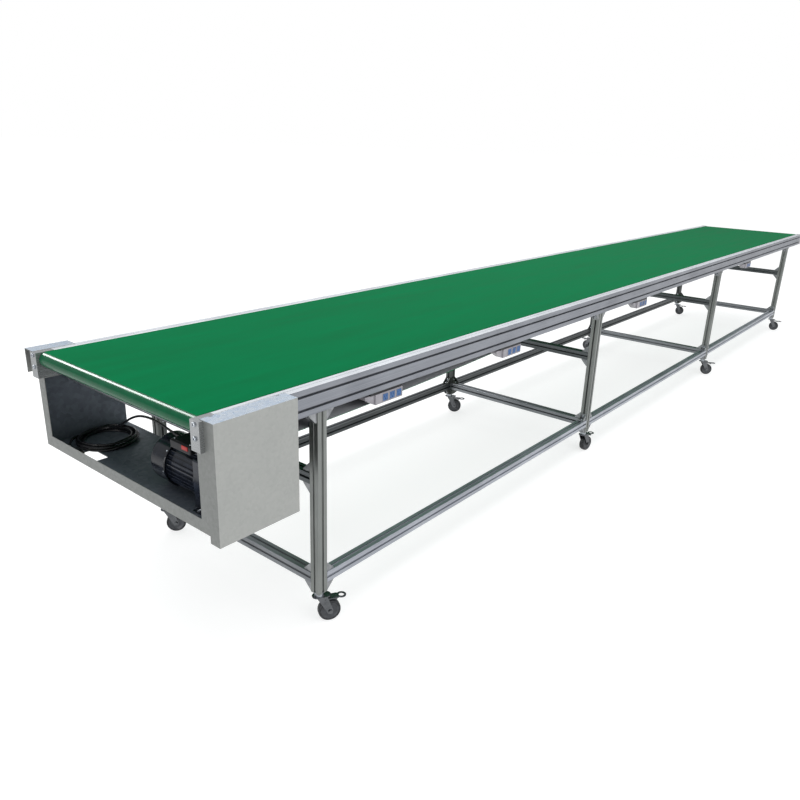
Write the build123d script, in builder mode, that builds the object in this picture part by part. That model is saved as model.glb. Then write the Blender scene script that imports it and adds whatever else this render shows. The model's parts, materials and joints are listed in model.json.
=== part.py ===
"""Belt conveyor section: aluminium profile frame on braked casters, with an under-slung belt drive.

Millimetres. X runs along the belt from the drive end to the tail end, Y runs across it towards the
far side and Z is up. The origin is on the floor, in the middle of the length and of the width.
"""

import os
from math import asin, atan2, cos, hypot, pi, sin

from build123d import *

# ---------------------------------------------------------------- overall
belt_length = 6968.0        # belt nose at the drive end to belt nose at the tail end
belt_width = 860.0
belt_height = 870.0         # top of the belt above the floor
belt_thickness = 2.0
belt_side_gap = 3.0         # belt edge to side rail
roller_gap = 0.3            # the belt's inner face stands this far off every roller

# ---------------------------------------------------------------- frame profiles
rail_width = 40.0
rail_height = 90.0
rail_slot_inset = 23.0      # groove centre to the rail's top or bottom edge
rail_wall = 3.0
post_size = 40.0
slot_opening = 8.2
slot_lip = 3.0
slot_cavity = 17.0
slot_depth = 12.0
post_bore = 12.2
profile_corner = 1.5
drive_overhang = 419.0      # belt nose to the first leg
tail_overhang = 458.0       # last leg to the tail nose
frame_count = 4
upper_bar_top = 564.0
lower_bar_top = 192.0
bracket_size = 34.0
bracket_width = 32.0
bracket_plate = 4.5
bracket_rib = 4.0
tie_size = 30.0
tie_wall = 2.0
tie_count = 11
bed_sheet = 2.0

# ---------------------------------------------------------------- fasteners
bolt_shank = 8.0
bolt_hole = 8.4
bolt_head = 14.0
bolt_head_height = 5.0
bolt_reach = 6.0            # how far a bracket bolt stands into a groove

# ---------------------------------------------------------------- end blocks and rollers
block_front = 9.0           # the block stands this far past the belt nose
block_length = 65.0
block_bolt_upper = 11.0     # bolt below the top of the block
block_bolt_lower = 52.0
block_bolt_length = 50.0
shaft_fit = 0.05            # radial clearance of a shaft in its bore
end_roller_radius = 25.0
end_shaft_radius = 10.0
end_shaft_reach = 30.0
roller_side_gap = 1.0       # roller shell to side rail
tube_wall = 3.0
disc_inset = 6.0            # roller end discs behind the tube's rim
disc_thickness = 10.0
snub_radius = 20.0
snub_back = 104.0           # snub axis behind the belt nose
snub_below_rail = 8.0       # snub axis below the side rail
return_radius = 20.0
return_shaft_radius = 6.0
return_shaft_reach = 12.0
return_roller_at = (2560.0, 4700.0)
return_sag_radius = (27000.0, 30000.0, 30000.0)

# ---------------------------------------------------------------- drive
drum_radius = 44.5
drum_back = 190.0           # drum axis behind the belt nose
drum_below_rail = 14.0      # drum axis below the side rail
drum_shaft_radius = 12.5
drum_wall = 5.0
chain_pitch = 12.7
drum_teeth = 20
motor_teeth = 15
sprocket_width = 7.0
tooth_height = 3.6
chain_thickness = 4.0
chain_width = 9.0
chain_gap = 0.5             # chain inner face to tooth tips
chain_line = 26.0           # side rail face to the middle of the chain
bearing_flange = 74.0
bearing_height = 48.0
bearing_depth = 14.0

housing_back = 8.0          # housing front face behind the belt nose
housing_length = 305.0
housing_drop = 256.0        # rail underside to housing underside
housing_sheet = 2.0
housing_lip = 40.0
floor_cut_back = 37.0       # cable opening behind the housing front
floor_cut_length = 45.0
floor_cut_width = 96.0
floor_cut_inset = 209.0     # opening's middle to the housing's far wall

guard_depth = 42.0
guard_length = 292.0
guard_height = 366.0
guard_sheet = 1.5
guard_step = 3.0            # guard front ahead of the housing front
guard_lap = 16.0            # top plate over the side rail
cover_length = 150.0
cover_height = 84.0

motor_back = 150.0          # motor axis behind the belt nose
motor_rise = 87.0           # motor axis above the housing underside
motor_core = 68.0
motor_fin = 76.0
motor_spigot = 58.0
fin_count = 32
fin_thickness = 2.0
gearbox_length = 165.0
gearbox_width = 150.0
motor_length = 150.0
cowl_radius = 80.0
cowl_length = 72.0
cowl_sheet = 1.5
motor_shaft_radius = 7.0
output_shaft_radius = 10.0
terminal_length = 96.0
terminal_width = 88.0
terminal_rise = 24.0
terminal_shift = 24.0       # terminal box off the motor axis, towards the belt nose
terminal_neck = 30.0        # half width of the neck under the terminal box

# ---------------------------------------------------------------- casters
caster_height = 118.0
wheel_radius = 40.0
wheel_width = 28.0
wheel_side_gap = 2.5
fork_sheet = 2.5
caster_trail = 35.0
axle_radius = 4.0
swivel_gap = 0.3
stem_radius = 16.0
stud_length = 40.0
kingpin_radius = 6.0
pedal_reach = 96.0
near_swivels = (-30.0, -8.0, -55.0, -75.0)
far_swivels = (-40.0, -60.0, 75.0, -70.0)

# ---------------------------------------------------------------- power sockets
socket_bays = ((0, 0.1244), (0, 0.526), (1, 0.235), (2, 0.3148))   # bay, and how far along it a strip starts
socket_length = 142.0
socket_height = 36.0
socket_depth = 38.0
socket_taper = 46.0
hanger_height = 9.0
insert_count = 3
insert_width = 25.0
insert_height = 24.0
insert_pitch = 36.0

# ---------------------------------------------------------------- power cord
cord_radius = 4.0
coil_back = 163.0
coil_inset = 123.0          # coil centre to the housing's far wall
coil_outer = 118.0
coil_inner = 78.0
coil_rise = 26.0

# ================================================================ derived places
nose = -belt_length / 2
tail = belt_length / 2
inner_face = belt_width / 2 + belt_side_gap
outer_face = inner_face + rail_width
rail_middle = inner_face + rail_width / 2
rail_bottom = belt_height - rail_height
block_back = nose - block_front + block_length
block_length_tail = tail + block_front - block_length
leg_pitch = (belt_length - drive_overhang - tail_overhang - post_size) / (frame_count - 1)
leg_at = [nose + drive_overhang + post_size / 2 + i * leg_pitch for i in range(frame_count)]
roller_span = 2 * inner_face - 2 * roller_side_gap
floor_top = rail_bottom - housing_drop + housing_sheet
housing_front = nose + housing_back
housing_end = housing_front + housing_length
drum_x = nose + drum_back
drum_z = rail_bottom - drum_below_rail
end_drop = end_roller_radius + roller_gap + belt_thickness
motor_x = nose + motor_back
motor_z = rail_bottom - housing_drop + motor_rise
guard_outer = outer_face + guard_depth
wall_inner = outer_face - housing_sheet
floor_cut_side = wall_inner - floor_cut_inset
coil_side = wall_inner - coil_inset
return_shaft_z = rail_bottom + rail_slot_inset
socket_starts = [leg_at[bay] + share * leg_pitch for bay, share in socket_bays]

os.makedirs("parts", exist_ok=True)


def save(part, name):
    """Labels a finished piece and writes it."""
    part.label = name
    export_step(part, f"parts/{name}.step")


def box(x_low, x_high, y_low, y_high, z_low, z_high, mode=Mode.ADD):
    """A block between two corners, in the part being built."""
    with BuildSketch(Plane.XY.offset(z_low)) as base:
        with Locations(((x_low + x_high) / 2, (y_low + y_high) / 2)):
            Rectangle(x_high - x_low, y_high - y_low)
    extrude(base.sketch, amount=z_high - z_low, mode=mode)


def rod(x, z, y_low, y_high, radius, mode=Mode.ADD):
    """A round bar along Y, in the part being built."""
    with BuildSketch(Plane.XZ.offset(-y_high)) as end:
        with Locations((x, z)):
            Circle(radius)
    extrude(end.sketch, amount=y_high - y_low, mode=mode)


def slot(opening, cavity, lip, depth):
    """Outline of a T-slot whose mouth is on the X axis and which is cut towards -Y."""
    shoulder = (lip + depth) / 2
    return [
        (-opening / 2, 1),
        (-opening / 2, -lip),
        (-cavity / 2, -lip),
        (-cavity / 2, -shoulder),
        (-opening / 2, -depth),
        (opening / 2, -depth),
        (cavity / 2, -shoulder),
        (cavity / 2, -lip),
        (opening / 2, -lip),
        (opening / 2, 1),
    ]


def post_section():
    """Square profile with a T-slot on each side and a round core hole, in the sketch being built."""
    square = Rectangle(post_size, post_size)
    fillet(square.vertices(), profile_corner)
    outline = slot(slot_opening, slot_cavity, slot_lip, slot_depth)
    for turn in range(4):
        turned = Rot(0, 0, 90 * turn) * Pos(0, post_size / 2, 0)
        with Locations(turned):
            Polygon(*outline, align=None, mode=Mode.SUBTRACT)
    Circle(post_bore / 2, mode=Mode.SUBTRACT)


# ================================================================ side rails
def rail_section(side):
    """Hollow side profile: two grooves outside, one below, a fine line along the top."""
    frame = Rectangle(rail_width, rail_height)
    fillet(frame.vertices(), profile_corner)
    outline = slot(slot_opening, slot_cavity, slot_lip, slot_depth)
    groove = rail_height / 2 - rail_slot_inset
    for height in (groove, -groove):
        with Locations(Pos(side * rail_width / 2, height, 0) * Rot(0, 0, -90 * side)):
            Polygon(*outline, align=None, mode=Mode.SUBTRACT)
    with Locations(Pos(0, -rail_height / 2, 0) * Rot(0, 0, 180)):
        Polygon(*outline, align=None, mode=Mode.SUBTRACT)
    with Locations((-side * 2, rail_height / 2)):
        Rectangle(1.4, 2.0, mode=Mode.SUBTRACT)
    chamber = rail_width - slot_depth - 2 * rail_wall
    for height in (groove, -groove):
        with Locations((-side * (rail_width / 2 - rail_wall - chamber / 2), height)):
            Rectangle(chamber, 2 * (rail_slot_inset - slot_depth) - rail_wall * 2, mode=Mode.SUBTRACT)
    Rectangle(rail_width - 2 * rail_wall, 2 * groove - slot_cavity - 2 * rail_wall, mode=Mode.SUBTRACT)


def side_rail(side):
    """Side rail from end block to end block, with holes for the return roller shafts."""
    with BuildSketch(Plane.YZ.offset(block_back)) as end:
        with Locations((side * rail_middle, rail_bottom + rail_height / 2)):
            add(rail_sections[side])
    extrude(end.sketch, amount=block_length_tail - block_back)
    for at in return_roller_at:
        low, high = sorted((side * (inner_face - 1), side * (inner_face + return_shaft_reach)))
        rod(nose + at, return_shaft_z, low, high, return_shaft_radius + shaft_fit, Mode.SUBTRACT)


rail_sections = {}
for rail_side in (-1, 1):
    with BuildSketch() as rail_sketch:
        rail_section(rail_side)
    rail_sections[rail_side] = rail_sketch.sketch

with BuildPart() as near_side_rail:
    side_rail(-1)
save(near_side_rail.part, "near_side_rail")

with BuildPart() as far_side_rail:
    side_rail(1)
save(far_side_rail.part, "far_side_rail")

# ================================================================ bearing blocks at the four ends
with BuildPart() as bearing_blocks:
    for side in (-1, 1):
        for end in (-1, 1):
            start = nose - block_front if end < 0 else block_length_tail
            y_low, y_high = sorted((side * inner_face, side * outer_face))
            box(start, start + block_length, y_low, y_high, rail_bottom, belt_height)
            axis_x = end * (belt_length / 2 - end_drop)
            bore_low, bore_high = sorted((side * (inner_face - 1), side * (inner_face + end_shaft_reach + 1)))
            rod(axis_x, belt_height - end_drop, bore_low, bore_high, end_shaft_radius + shaft_fit, Mode.SUBTRACT)
            face = end * (belt_length / 2 + block_front)
            for drop in (block_bolt_upper, block_bolt_lower):
                with BuildSketch(Plane.YZ.offset(face)):
                    with Locations((side * rail_middle, belt_height - drop)):
                        Circle(bolt_hole / 2)
                extrude(amount=-end * (block_bolt_length + 2), mode=Mode.SUBTRACT)
save(bearing_blocks.part, "bearing_blocks")

# ================================================================ belt bed
bed_top = belt_height - belt_thickness

with BuildPart() as slider_bed:
    box(block_back, block_length_tail, -inner_face + 0.5, inner_face - 0.5, bed_top - bed_sheet, bed_top)
save(slider_bed.part, "slider_bed")

tie_top = bed_top - bed_sheet
tie_run = block_length_tail - block_back - tie_size
with BuildPart() as bed_cross_ties:
    for i in range(tie_count):
        middle = block_back + tie_size / 2 + i * tie_run / (tie_count - 1)
        half = tie_size / 2
        box(middle - half, middle + half, -inner_face, inner_face, tie_top - tie_size, tie_top)
        core = half - tie_wall
        box(middle - core, middle + core, -inner_face, inner_face,
            tie_top - tie_size + tie_wall, tie_top - tie_wall, Mode.SUBTRACT)
save(bed_cross_ties.part, "bed_cross_ties")

# ================================================================ legs, crossbars and stretchers
with BuildSketch() as post_sketch:
    post_section()

with BuildPart() as legs:
    with BuildSketch(Plane.XY.offset(caster_height)):
        with Locations([(x, side * rail_middle) for side in (-1, 1) for x in leg_at]):
            add(post_sketch.sketch)
    extrude(amount=rail_bottom - caster_height)
save(legs.part, "legs")

with BuildPart() as crossbars:
    with BuildSketch(Plane.XZ.offset(-inner_face)):
        with Locations([(x, top - post_size / 2) for top in (upper_bar_top, lower_bar_top) for x in leg_at]):
            add(post_sketch.sketch)
    extrude(amount=2 * inner_face)
save(crossbars.part, "crossbars")

with BuildPart() as stretchers:
    for x in leg_at[:-1]:
        with BuildSketch(Plane.YZ.offset(x + post_size / 2)):
            with Locations([(side * rail_middle, lower_bar_top - post_size / 2) for side in (-1, 1)]):
                add(post_sketch.sketch)
        extrude(amount=leg_pitch - post_size)
save(stretchers.part, "stretchers")

# ================================================================ corner brackets and bolts
with BuildPart() as bracket:
    half_width = bracket_width / 2
    box(0, bracket_size, -half_width, half_width, 0, bracket_plate)
    box(0, bracket_plate, -half_width, half_width, 0, bracket_size)
    for rib in (-half_width + bracket_rib, half_width):
        with BuildSketch(Plane.XZ.offset(-rib)):
            Polygon((0, 0), (bracket_size, 0), (bracket_size, bracket_plate), (bracket_plate, bracket_size),
                    (0, bracket_size), align=None)
        extrude(amount=bracket_rib)
    hole_at = (bracket_size + bracket_plate) / 2
    with BuildSketch(Plane.XY):
        with Locations((hole_at, 0)):
            Circle(bolt_hole / 2)
    extrude(amount=bracket_plate, mode=Mode.SUBTRACT)
    with BuildSketch(Plane.YZ):
        with Locations((0, hole_at)):
            Circle(bolt_hole / 2)
    extrude(amount=bracket_plate, mode=Mode.SUBTRACT)

bracket_places = []
for side in (-1, 1):
    for i, x in enumerate(leg_at):
        for end in (-1, 1):
            edge = x + end * post_size / 2
            bracket_places.append(Plane((edge, side * rail_middle, rail_bottom), (end, 0, 0), (0, 0, -1)))
            if 0 <= i + (end - 1) / 2 and i + (end + 1) / 2 < frame_count:
                bracket_places.append(Plane((edge, side * rail_middle, lower_bar_top), (end, 0, 0), (0, 0, 1)))
                bracket_places.append(
                    Plane((edge, side * rail_middle, lower_bar_top - post_size), (end, 0, 0), (0, 0, -1)))
        for top in (upper_bar_top, lower_bar_top):
            bracket_places.append(Plane((x, side * inner_face, top), (0, -side, 0), (0, 0, 1)))
            bracket_places.append(Plane((x, side * inner_face, top - post_size), (0, -side, 0), (0, 0, -1)))

with BuildPart() as corner_brackets:
    with Locations(*[place.location for place in bracket_places]):
        add(bracket.part)
save(corner_brackets.part, "corner_brackets")


def bolt(length):
    """Button-head bolt with its head above the XY plane and its shank below, in the part being built."""
    with BuildSketch(Plane.XY) as head:
        Circle(bolt_head / 2)
    extrude(head.sketch, amount=bolt_head_height)
    fillet(edges().group_by(Axis.Z)[-1], bolt_head_height * 0.45)
    with BuildSketch(Plane.XY.offset(bolt_head_height)) as socket:
        RegularPolygon(2.9, 6)
    extrude(socket.sketch, amount=-2.5, mode=Mode.SUBTRACT)
    with BuildSketch(Plane.XY) as shank:
        Circle(bolt_shank / 2)
    extrude(shank.sketch, amount=-length)


with BuildPart() as bracket_bolt:
    bolt(bracket_plate + bolt_reach)

with BuildPart() as block_bolt:
    bolt(block_bolt_length)

bolt_places = []
for place in bracket_places:
    along = Location((hole_at, 0, bracket_plate))
    up = Location((bracket_plate, 0, hole_at), (0, 90, 0))
    bolt_places += [place.location * along, place.location * up]

block_bolt_places = []
for side in (-1, 1):
    for end in (-1, 1):
        for drop in (block_bolt_upper, block_bolt_lower):
            spot = (end * (belt_length / 2 + block_front), side * rail_middle, belt_height - drop)
            block_bolt_places.append(Plane(spot, (0, 1, 0), (end, 0, 0)).location)

with BuildPart() as frame_bolts:
    with Locations(*bolt_places):
        add(bracket_bolt.part)
    with Locations(*block_bolt_places):
        add(block_bolt.part)
save(frame_bolts.part, "frame_bolts")


# ================================================================ rollers
def roller(x, z, radius, wall, shaft_radius, y_low, y_high):
    """Tube between the side rails on a through shaft, with a pierced disc near each end."""
    rod(x, z, -roller_span / 2, roller_span / 2, radius)
    rod(x, z, -roller_span / 2 - 1, roller_span / 2 + 1, radius - wall, Mode.SUBTRACT)
    ring = (radius - wall + shaft_radius) / 2
    hole = (radius - wall - shaft_radius) * 0.3
    for side in (-1, 1):
        low, high = sorted((side * (roller_span / 2 - disc_inset), side * (roller_span / 2 - disc_inset - disc_thickness)))
        with BuildSketch(Plane.XZ.offset(-high)) as disc:
            with Locations((x, z)):
                Circle(radius - wall / 2)
                with PolarLocations(ring, 4):
                    Circle(hole, mode=Mode.SUBTRACT)
        extrude(disc.sketch, amount=high - low)
    rod(x, z, y_low, y_high, shaft_radius)


with BuildPart() as nose_roller:
    reach = inner_face + end_shaft_reach
    roller(nose + end_drop, belt_height - end_drop, end_roller_radius, tube_wall, end_shaft_radius, -reach, reach)
save(nose_roller.part, "nose_roller")

with BuildPart() as tail_roller:
    reach = inner_face + end_shaft_reach
    roller(tail - end_drop, belt_height - end_drop, end_roller_radius, tube_wall, end_shaft_radius, -reach, reach)
save(tail_roller.part, "tail_roller")

for number, at in enumerate(return_roller_at, 1):
    with BuildPart() as return_roller:
        reach = inner_face + return_shaft_reach - 1
        roller(nose + at, return_shaft_z, return_radius, tube_wall, return_shaft_radius, -reach, reach)
    save(return_roller.part, f"return_roller_{number}")

snub_x = nose + snub_back
snub_z = rail_bottom - snub_below_rail
with BuildPart() as snub_roller:
    roller(snub_x, snub_z, snub_radius, tube_wall, return_shaft_radius, -outer_face, outer_face)
save(snub_roller.part, "snub_roller")

# ================================================================ belt
def tangent(first, second):
    """Straight run between two pulleys, each (x, z, radius, turn), as its two touching points."""
    dx = second[0] - first[0]
    dz = second[1] - first[1]
    heading = atan2(dz, dx) - asin((second[3] * second[2] - first[3] * first[2]) / hypot(dx, dz))
    left = (-sin(heading), cos(heading))
    return [(p[0] - p[3] * p[2] * left[0], p[1] - p[3] * p[2] * left[1]) for p in (first, second)]


def sagging(first, second, radius):
    """Hanging run between two pulleys as the two touching points and the lowest middle point."""
    near = radius - first[3] * first[2]
    far = radius - second[3] * second[2]
    dx = second[0] - first[0]
    dz = second[1] - first[1]
    gap = hypot(dx, dz)
    along = (near ** 2 - far ** 2 + gap ** 2) / (2 * gap)
    high = (near ** 2 - along ** 2) ** 0.5
    centre = (first[0] + (along * dx - high * dz) / gap, first[1] + (along * dz + high * dx) / gap)
    points = []
    for pulley in (first, second):
        reach = hypot(pulley[0] - centre[0], pulley[1] - centre[1])
        points.append(tuple(centre[k] + (pulley[k] - centre[k]) * radius / reach for k in (0, 1)))
    bisector = ((points[0][0] + points[1][0]) / 2 - centre[0], (points[0][1] + points[1][1]) / 2 - centre[1])
    reach = hypot(*bisector)
    return points[0], points[1], (centre[0] + bisector[0] * radius / reach, centre[1] + bisector[1] * radius / reach)


def wrap_middle(pulley, arrive, leave):
    """Middle of the arc on which the belt runs round a pulley."""
    start = atan2(arrive[1] - pulley[1], arrive[0] - pulley[0])
    end = atan2(leave[1] - pulley[1], leave[0] - pulley[0])
    sweep = (end - start) * pulley[3] % (2 * pi)
    middle = start + pulley[3] * sweep / 2
    return (pulley[0] + pulley[2] * cos(middle), pulley[1] + pulley[2] * sin(middle))


def belt_loop(shrink):
    """Closed belt outline, drawn inside the outer surface by a distance, in the sketch being built."""
    inside = end_roller_radius + roller_gap + belt_thickness - shrink
    pulleys = [
        (nose + end_drop, belt_height - end_drop, inside, 1),
        (snub_x, snub_z, snub_radius + roller_gap + shrink, -1),
        (drum_x, drum_z, drum_radius + roller_gap + belt_thickness - shrink, 1),
        (nose + return_roller_at[0], return_shaft_z, return_radius + roller_gap + shrink, -1),
        (nose + return_roller_at[1], return_shaft_z, return_radius + roller_gap + shrink, -1),
        (tail - end_drop, belt_height - end_drop, inside, 1),
    ]
    count = len(pulleys)
    runs = []
    for i in range(count):
        following = pulleys[(i + 1) % count]
        if 2 <= i < count - 1:
            runs.append(sagging(pulleys[i], following, return_sag_radius[i - 2] - shrink))
        else:
            runs.append(tangent(pulleys[i], following))
    with BuildLine() as outline:
        for i, pulley in enumerate(pulleys):
            arrive = runs[i - 1][1]
            leave = runs[i][0]
            ThreePointArc(arrive, wrap_middle(pulley, arrive, leave), leave)
            if len(runs[i]) == 3:
                ThreePointArc(leave, runs[i][2], runs[i][1])
            else:
                Line(leave, runs[i][1])
    make_face(outline.edges())


with BuildPart() as conveyor_belt:
    with BuildSketch(Plane.XZ.offset(-belt_width / 2)):
        belt_loop(0)
    extrude(amount=belt_width)
    with BuildSketch(Plane.XZ.offset(-belt_width / 2)):
        belt_loop(belt_thickness)
    extrude(amount=belt_width, mode=Mode.SUBTRACT)
save(conveyor_belt.part, "conveyor_belt")


# ================================================================ drive drum and sprockets
def sprocket(x, z, teeth, bore, width_low, width_high):
    """Toothed wheel on an axis along Y with a bore, in the part being built."""
    pitch_radius = chain_pitch / 2 / sin(pi / teeth)
    root = pitch_radius - tooth_height
    with BuildSketch(Plane.XZ.offset(-width_high)) as face:
        with Locations((x, z)):
            Circle(root)
            with PolarLocations(root - 0.5, teeth):
                Trapezoid(2 * tooth_height, chain_pitch * 0.6, 66, align=(Align.CENTER, Align.MIN), rotation=-90)
            if bore:
                Circle(bore, mode=Mode.SUBTRACT)
    extrude(face.sketch, amount=width_high - width_low)


chain_middle = -outer_face - chain_line
with BuildPart() as drive_drum:
    half = sprocket_width / 2
    roller(drum_x, drum_z, drum_radius, drum_wall, drum_shaft_radius,
           chain_middle - half - 2, outer_face + bearing_depth + 2)
    sprocket(drum_x, drum_z, drum_teeth, 0, chain_middle - half, chain_middle + half)
save(drive_drum.part, "drive_drum")

with BuildPart() as drum_bearings:
    for side in (-1, 1):
        y_low, y_high = sorted((side * outer_face, side * (outer_face + bearing_depth)))
        with BuildSketch(Plane.XZ.offset(-y_high)):
            with Locations((drum_x, drum_z)):
                RectangleRounded(bearing_flange, bearing_height, 10)
        extrude(amount=y_high - y_low)
        rod(drum_x, drum_z, y_low - 1, y_high + 1, drum_shaft_radius + shaft_fit, Mode.SUBTRACT)
save(drum_bearings.part, "drum_bearings")

# ================================================================ gearmotor
gearbox_near = -wall_inner
gearbox_far = gearbox_near + gearbox_length
motor_far = gearbox_far + motor_length
cowl_far = motor_far + cowl_length

with BuildPart() as gearbox:
    half = gearbox_width / 2
    box(motor_x - half, motor_x + half, gearbox_near, gearbox_far, floor_top, motor_z + half)
    fillet(edges().filter_by(Axis.Y), 8)
    with BuildSketch(Plane.XZ.offset(-gearbox_far)):
        with Locations((motor_x, motor_z)):
            Circle(motor_spigot)
    extrude(amount=12, mode=Mode.SUBTRACT)
    rod(motor_x, motor_z, gearbox_near - 1, gearbox_near + 40, output_shaft_radius + shaft_fit, Mode.SUBTRACT)
    for z in (motor_z - 30, motor_z - 10, motor_z + 10, motor_z + 30):
        box(motor_x - half - 1, motor_x - half + 3, gearbox_near + 50, gearbox_far - 40, z - 3, z + 3, Mode.SUBTRACT)
save(gearbox.part, "gearbox")

with BuildPart() as motor_body:
    rod(motor_x, motor_z, gearbox_far - 12, gearbox_far + 4, motor_spigot - 1)
    rod(motor_x, motor_z, gearbox_far, gearbox_far + 4, motor_fin - 1)
    with BuildSketch(Plane.XZ.offset(-motor_far + 8)):
        with Locations((motor_x, motor_z)):
            Circle(motor_core)
            with PolarLocations((motor_core + motor_fin) / 2 - 1, fin_count):
                Rectangle(motor_fin - motor_core + 2, fin_thickness)
    extrude(amount=motor_length - 12)
    rod(motor_x, motor_z, motor_far - 8, motor_far, motor_fin - 1)
    rod(motor_x, motor_z, motor_far, motor_far + cowl_length / 2, motor_shaft_radius)
    terminal_near = gearbox_far + 18
    neck_x = motor_x - terminal_shift / 3
    box(neck_x - terminal_neck, neck_x + terminal_neck, terminal_near, terminal_near + terminal_length,
        motor_z + motor_core * 0.65, motor_z + motor_fin + 4)
save(motor_body.part, "motor_body")

terminal_x = motor_x - terminal_shift
terminal_floor = motor_z + motor_fin + 4
gland_z = terminal_floor + terminal_rise / 2
terminal_far = terminal_near + terminal_length
with BuildPart() as terminal_box:
    half = terminal_width / 2 + 3
    box(terminal_x - half, terminal_x + half, terminal_near - 3, terminal_far + 3,
        terminal_floor, terminal_floor + terminal_rise)
    fillet(edges().filter_by(Axis.Z), 6)
    chamfer(faces().sort_by(Axis.Z)[-1].edges(), 2)
    rod(terminal_x, gland_z, terminal_far - 12, terminal_far + 4, 7, Mode.SUBTRACT)
save(terminal_box.part, "terminal_box")

with BuildPart() as cable_gland:
    rod(terminal_x, gland_z, terminal_far - 12, terminal_far + 3, 7)
    with BuildSketch(Plane.XZ.offset(-terminal_far - 9)):
        with Locations((terminal_x, gland_z)):
            RegularPolygon(10, 6)
    extrude(amount=6)
    rod(terminal_x, gland_z, terminal_far + 9, terminal_far + 18, 8)
save(cable_gland.part, "cable_gland")

with BuildPart() as cowl_hollow:
    rod(motor_x, motor_z, motor_far - 9, cowl_far - cowl_sheet, cowl_radius - cowl_sheet)
    fillet(faces().sort_by(Axis.Y)[-1].edges(), 10 - cowl_sheet)

with BuildPart() as fan_cowl:
    rod(motor_x, motor_z, motor_far - 8, cowl_far, cowl_radius)
    fillet(faces().sort_by(Axis.Y)[-1].edges(), 10)
    add(cowl_hollow.part, mode=Mode.SUBTRACT)
    with BuildSketch(Plane.XZ.offset(-cowl_far - 1)):
        with Locations((motor_x, motor_z)):
            for ring, holes in ((18, 8), (31, 14), (44, 20), (57, 26)):
                with PolarLocations(ring, holes):
                    Circle(3.6)
    extrude(amount=cowl_sheet + 2, mode=Mode.SUBTRACT)
save(fan_cowl.part, "fan_cowl")

with BuildPart() as motor_fan:
    fan_near = motor_far + cowl_length * 0.2
    fan_far = motor_far + cowl_length * 0.5
    with BuildSketch(Plane.XZ.offset(-fan_far)):
        with Locations((motor_x, motor_z)):
            Circle(22)
            with PolarLocations(42, 7):
                Rectangle(48, 2.4)
            Circle(motor_shaft_radius, mode=Mode.SUBTRACT)
    extrude(amount=fan_far - fan_near)
save(motor_fan.part, "motor_fan")

with BuildPart() as motor_sprocket:
    half = sprocket_width / 2
    sprocket(motor_x, motor_z, motor_teeth, 0, chain_middle - half, chain_middle + half)
    rod(motor_x, motor_z, chain_middle - half - 2, gearbox_near + 38, output_shaft_radius)
save(motor_sprocket.part, "motor_sprocket")


def chain_outline(grow):
    """Outer outline of the chain loop round both sprockets, in the sketch being built."""
    radii = [chain_pitch / 2 / sin(pi / teeth) + tooth_height + chain_gap + grow for teeth in (drum_teeth, motor_teeth)]
    upper = (drum_x, drum_z, radii[0], 1)
    lower = (motor_x, motor_z, radii[1], 1)
    down = tangent(upper, lower)
    back = tangent(lower, upper)
    with BuildLine() as outline:
        Line(*down)
        ThreePointArc(down[1], wrap_middle(lower, down[1], back[0]), back[0])
        Line(*back)
        ThreePointArc(back[1], wrap_middle(upper, back[1], down[0]), down[0])
    make_face(outline.edges())


with BuildPart() as drive_chain:
    with BuildSketch(Plane.XZ.offset(-chain_middle - chain_width / 2)):
        chain_outline(chain_thickness)
    extrude(amount=chain_width)
    with BuildSketch(Plane.XZ.offset(-chain_middle - chain_width / 2)):
        chain_outline(0)
    extrude(amount=chain_width, mode=Mode.SUBTRACT)
save(drive_chain.part, "drive_chain")

# ================================================================ drive housing, guard and bearing cover
housing_low = rail_bottom - housing_drop
with BuildPart() as drive_housing:
    box(housing_front, housing_end, -outer_face, outer_face, housing_low, rail_bottom)
    box(housing_front - 1, housing_end + 1, -wall_inner, wall_inner, floor_top, rail_bottom + 1, Mode.SUBTRACT)
    for side in (-1, 1):
        y_low, y_high = sorted((side * wall_inner, side * (outer_face - housing_lip)))
        box(housing_front, housing_front + housing_sheet, y_low, y_high, floor_top, rail_bottom)
        box(housing_front, housing_end, y_low, y_high, rail_bottom - housing_sheet, rail_bottom)
        shaft_low, shaft_high = sorted((side * (wall_inner - 1), side * (outer_face + 1)))
        rod(drum_x, drum_z, shaft_low, shaft_high, drum_shaft_radius + 1, Mode.SUBTRACT)
        rod(snub_x, snub_z, shaft_low, shaft_high, return_shaft_radius + shaft_fit, Mode.SUBTRACT)
        box(drum_x - 20, drum_x + 20, min(y_low, y_high) - 1, max(y_low, y_high) + 1,
            rail_bottom - housing_sheet - 1, rail_bottom + 1, Mode.SUBTRACT)
        box(snub_x - 26, snub_x + 26, min(y_low, y_high) - 1, max(y_low, y_high) + 1,
            rail_bottom - housing_sheet - 1, rail_bottom + 1, Mode.SUBTRACT)
    box(housing_front, housing_front + housing_sheet, -wall_inner, wall_inner, floor_top, housing_low + housing_lip)
    rod(motor_x, motor_z, -outer_face - 1, -wall_inner + 1, output_shaft_radius + 3, Mode.SUBTRACT)
    cut_x = housing_front + floor_cut_back
    box(cut_x, cut_x + floor_cut_length, floor_cut_side - floor_cut_width / 2,
        floor_cut_side + floor_cut_width / 2, housing_low - 1, floor_top + 1, Mode.SUBTRACT)
save(drive_housing.part, "drive_housing")

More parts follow.
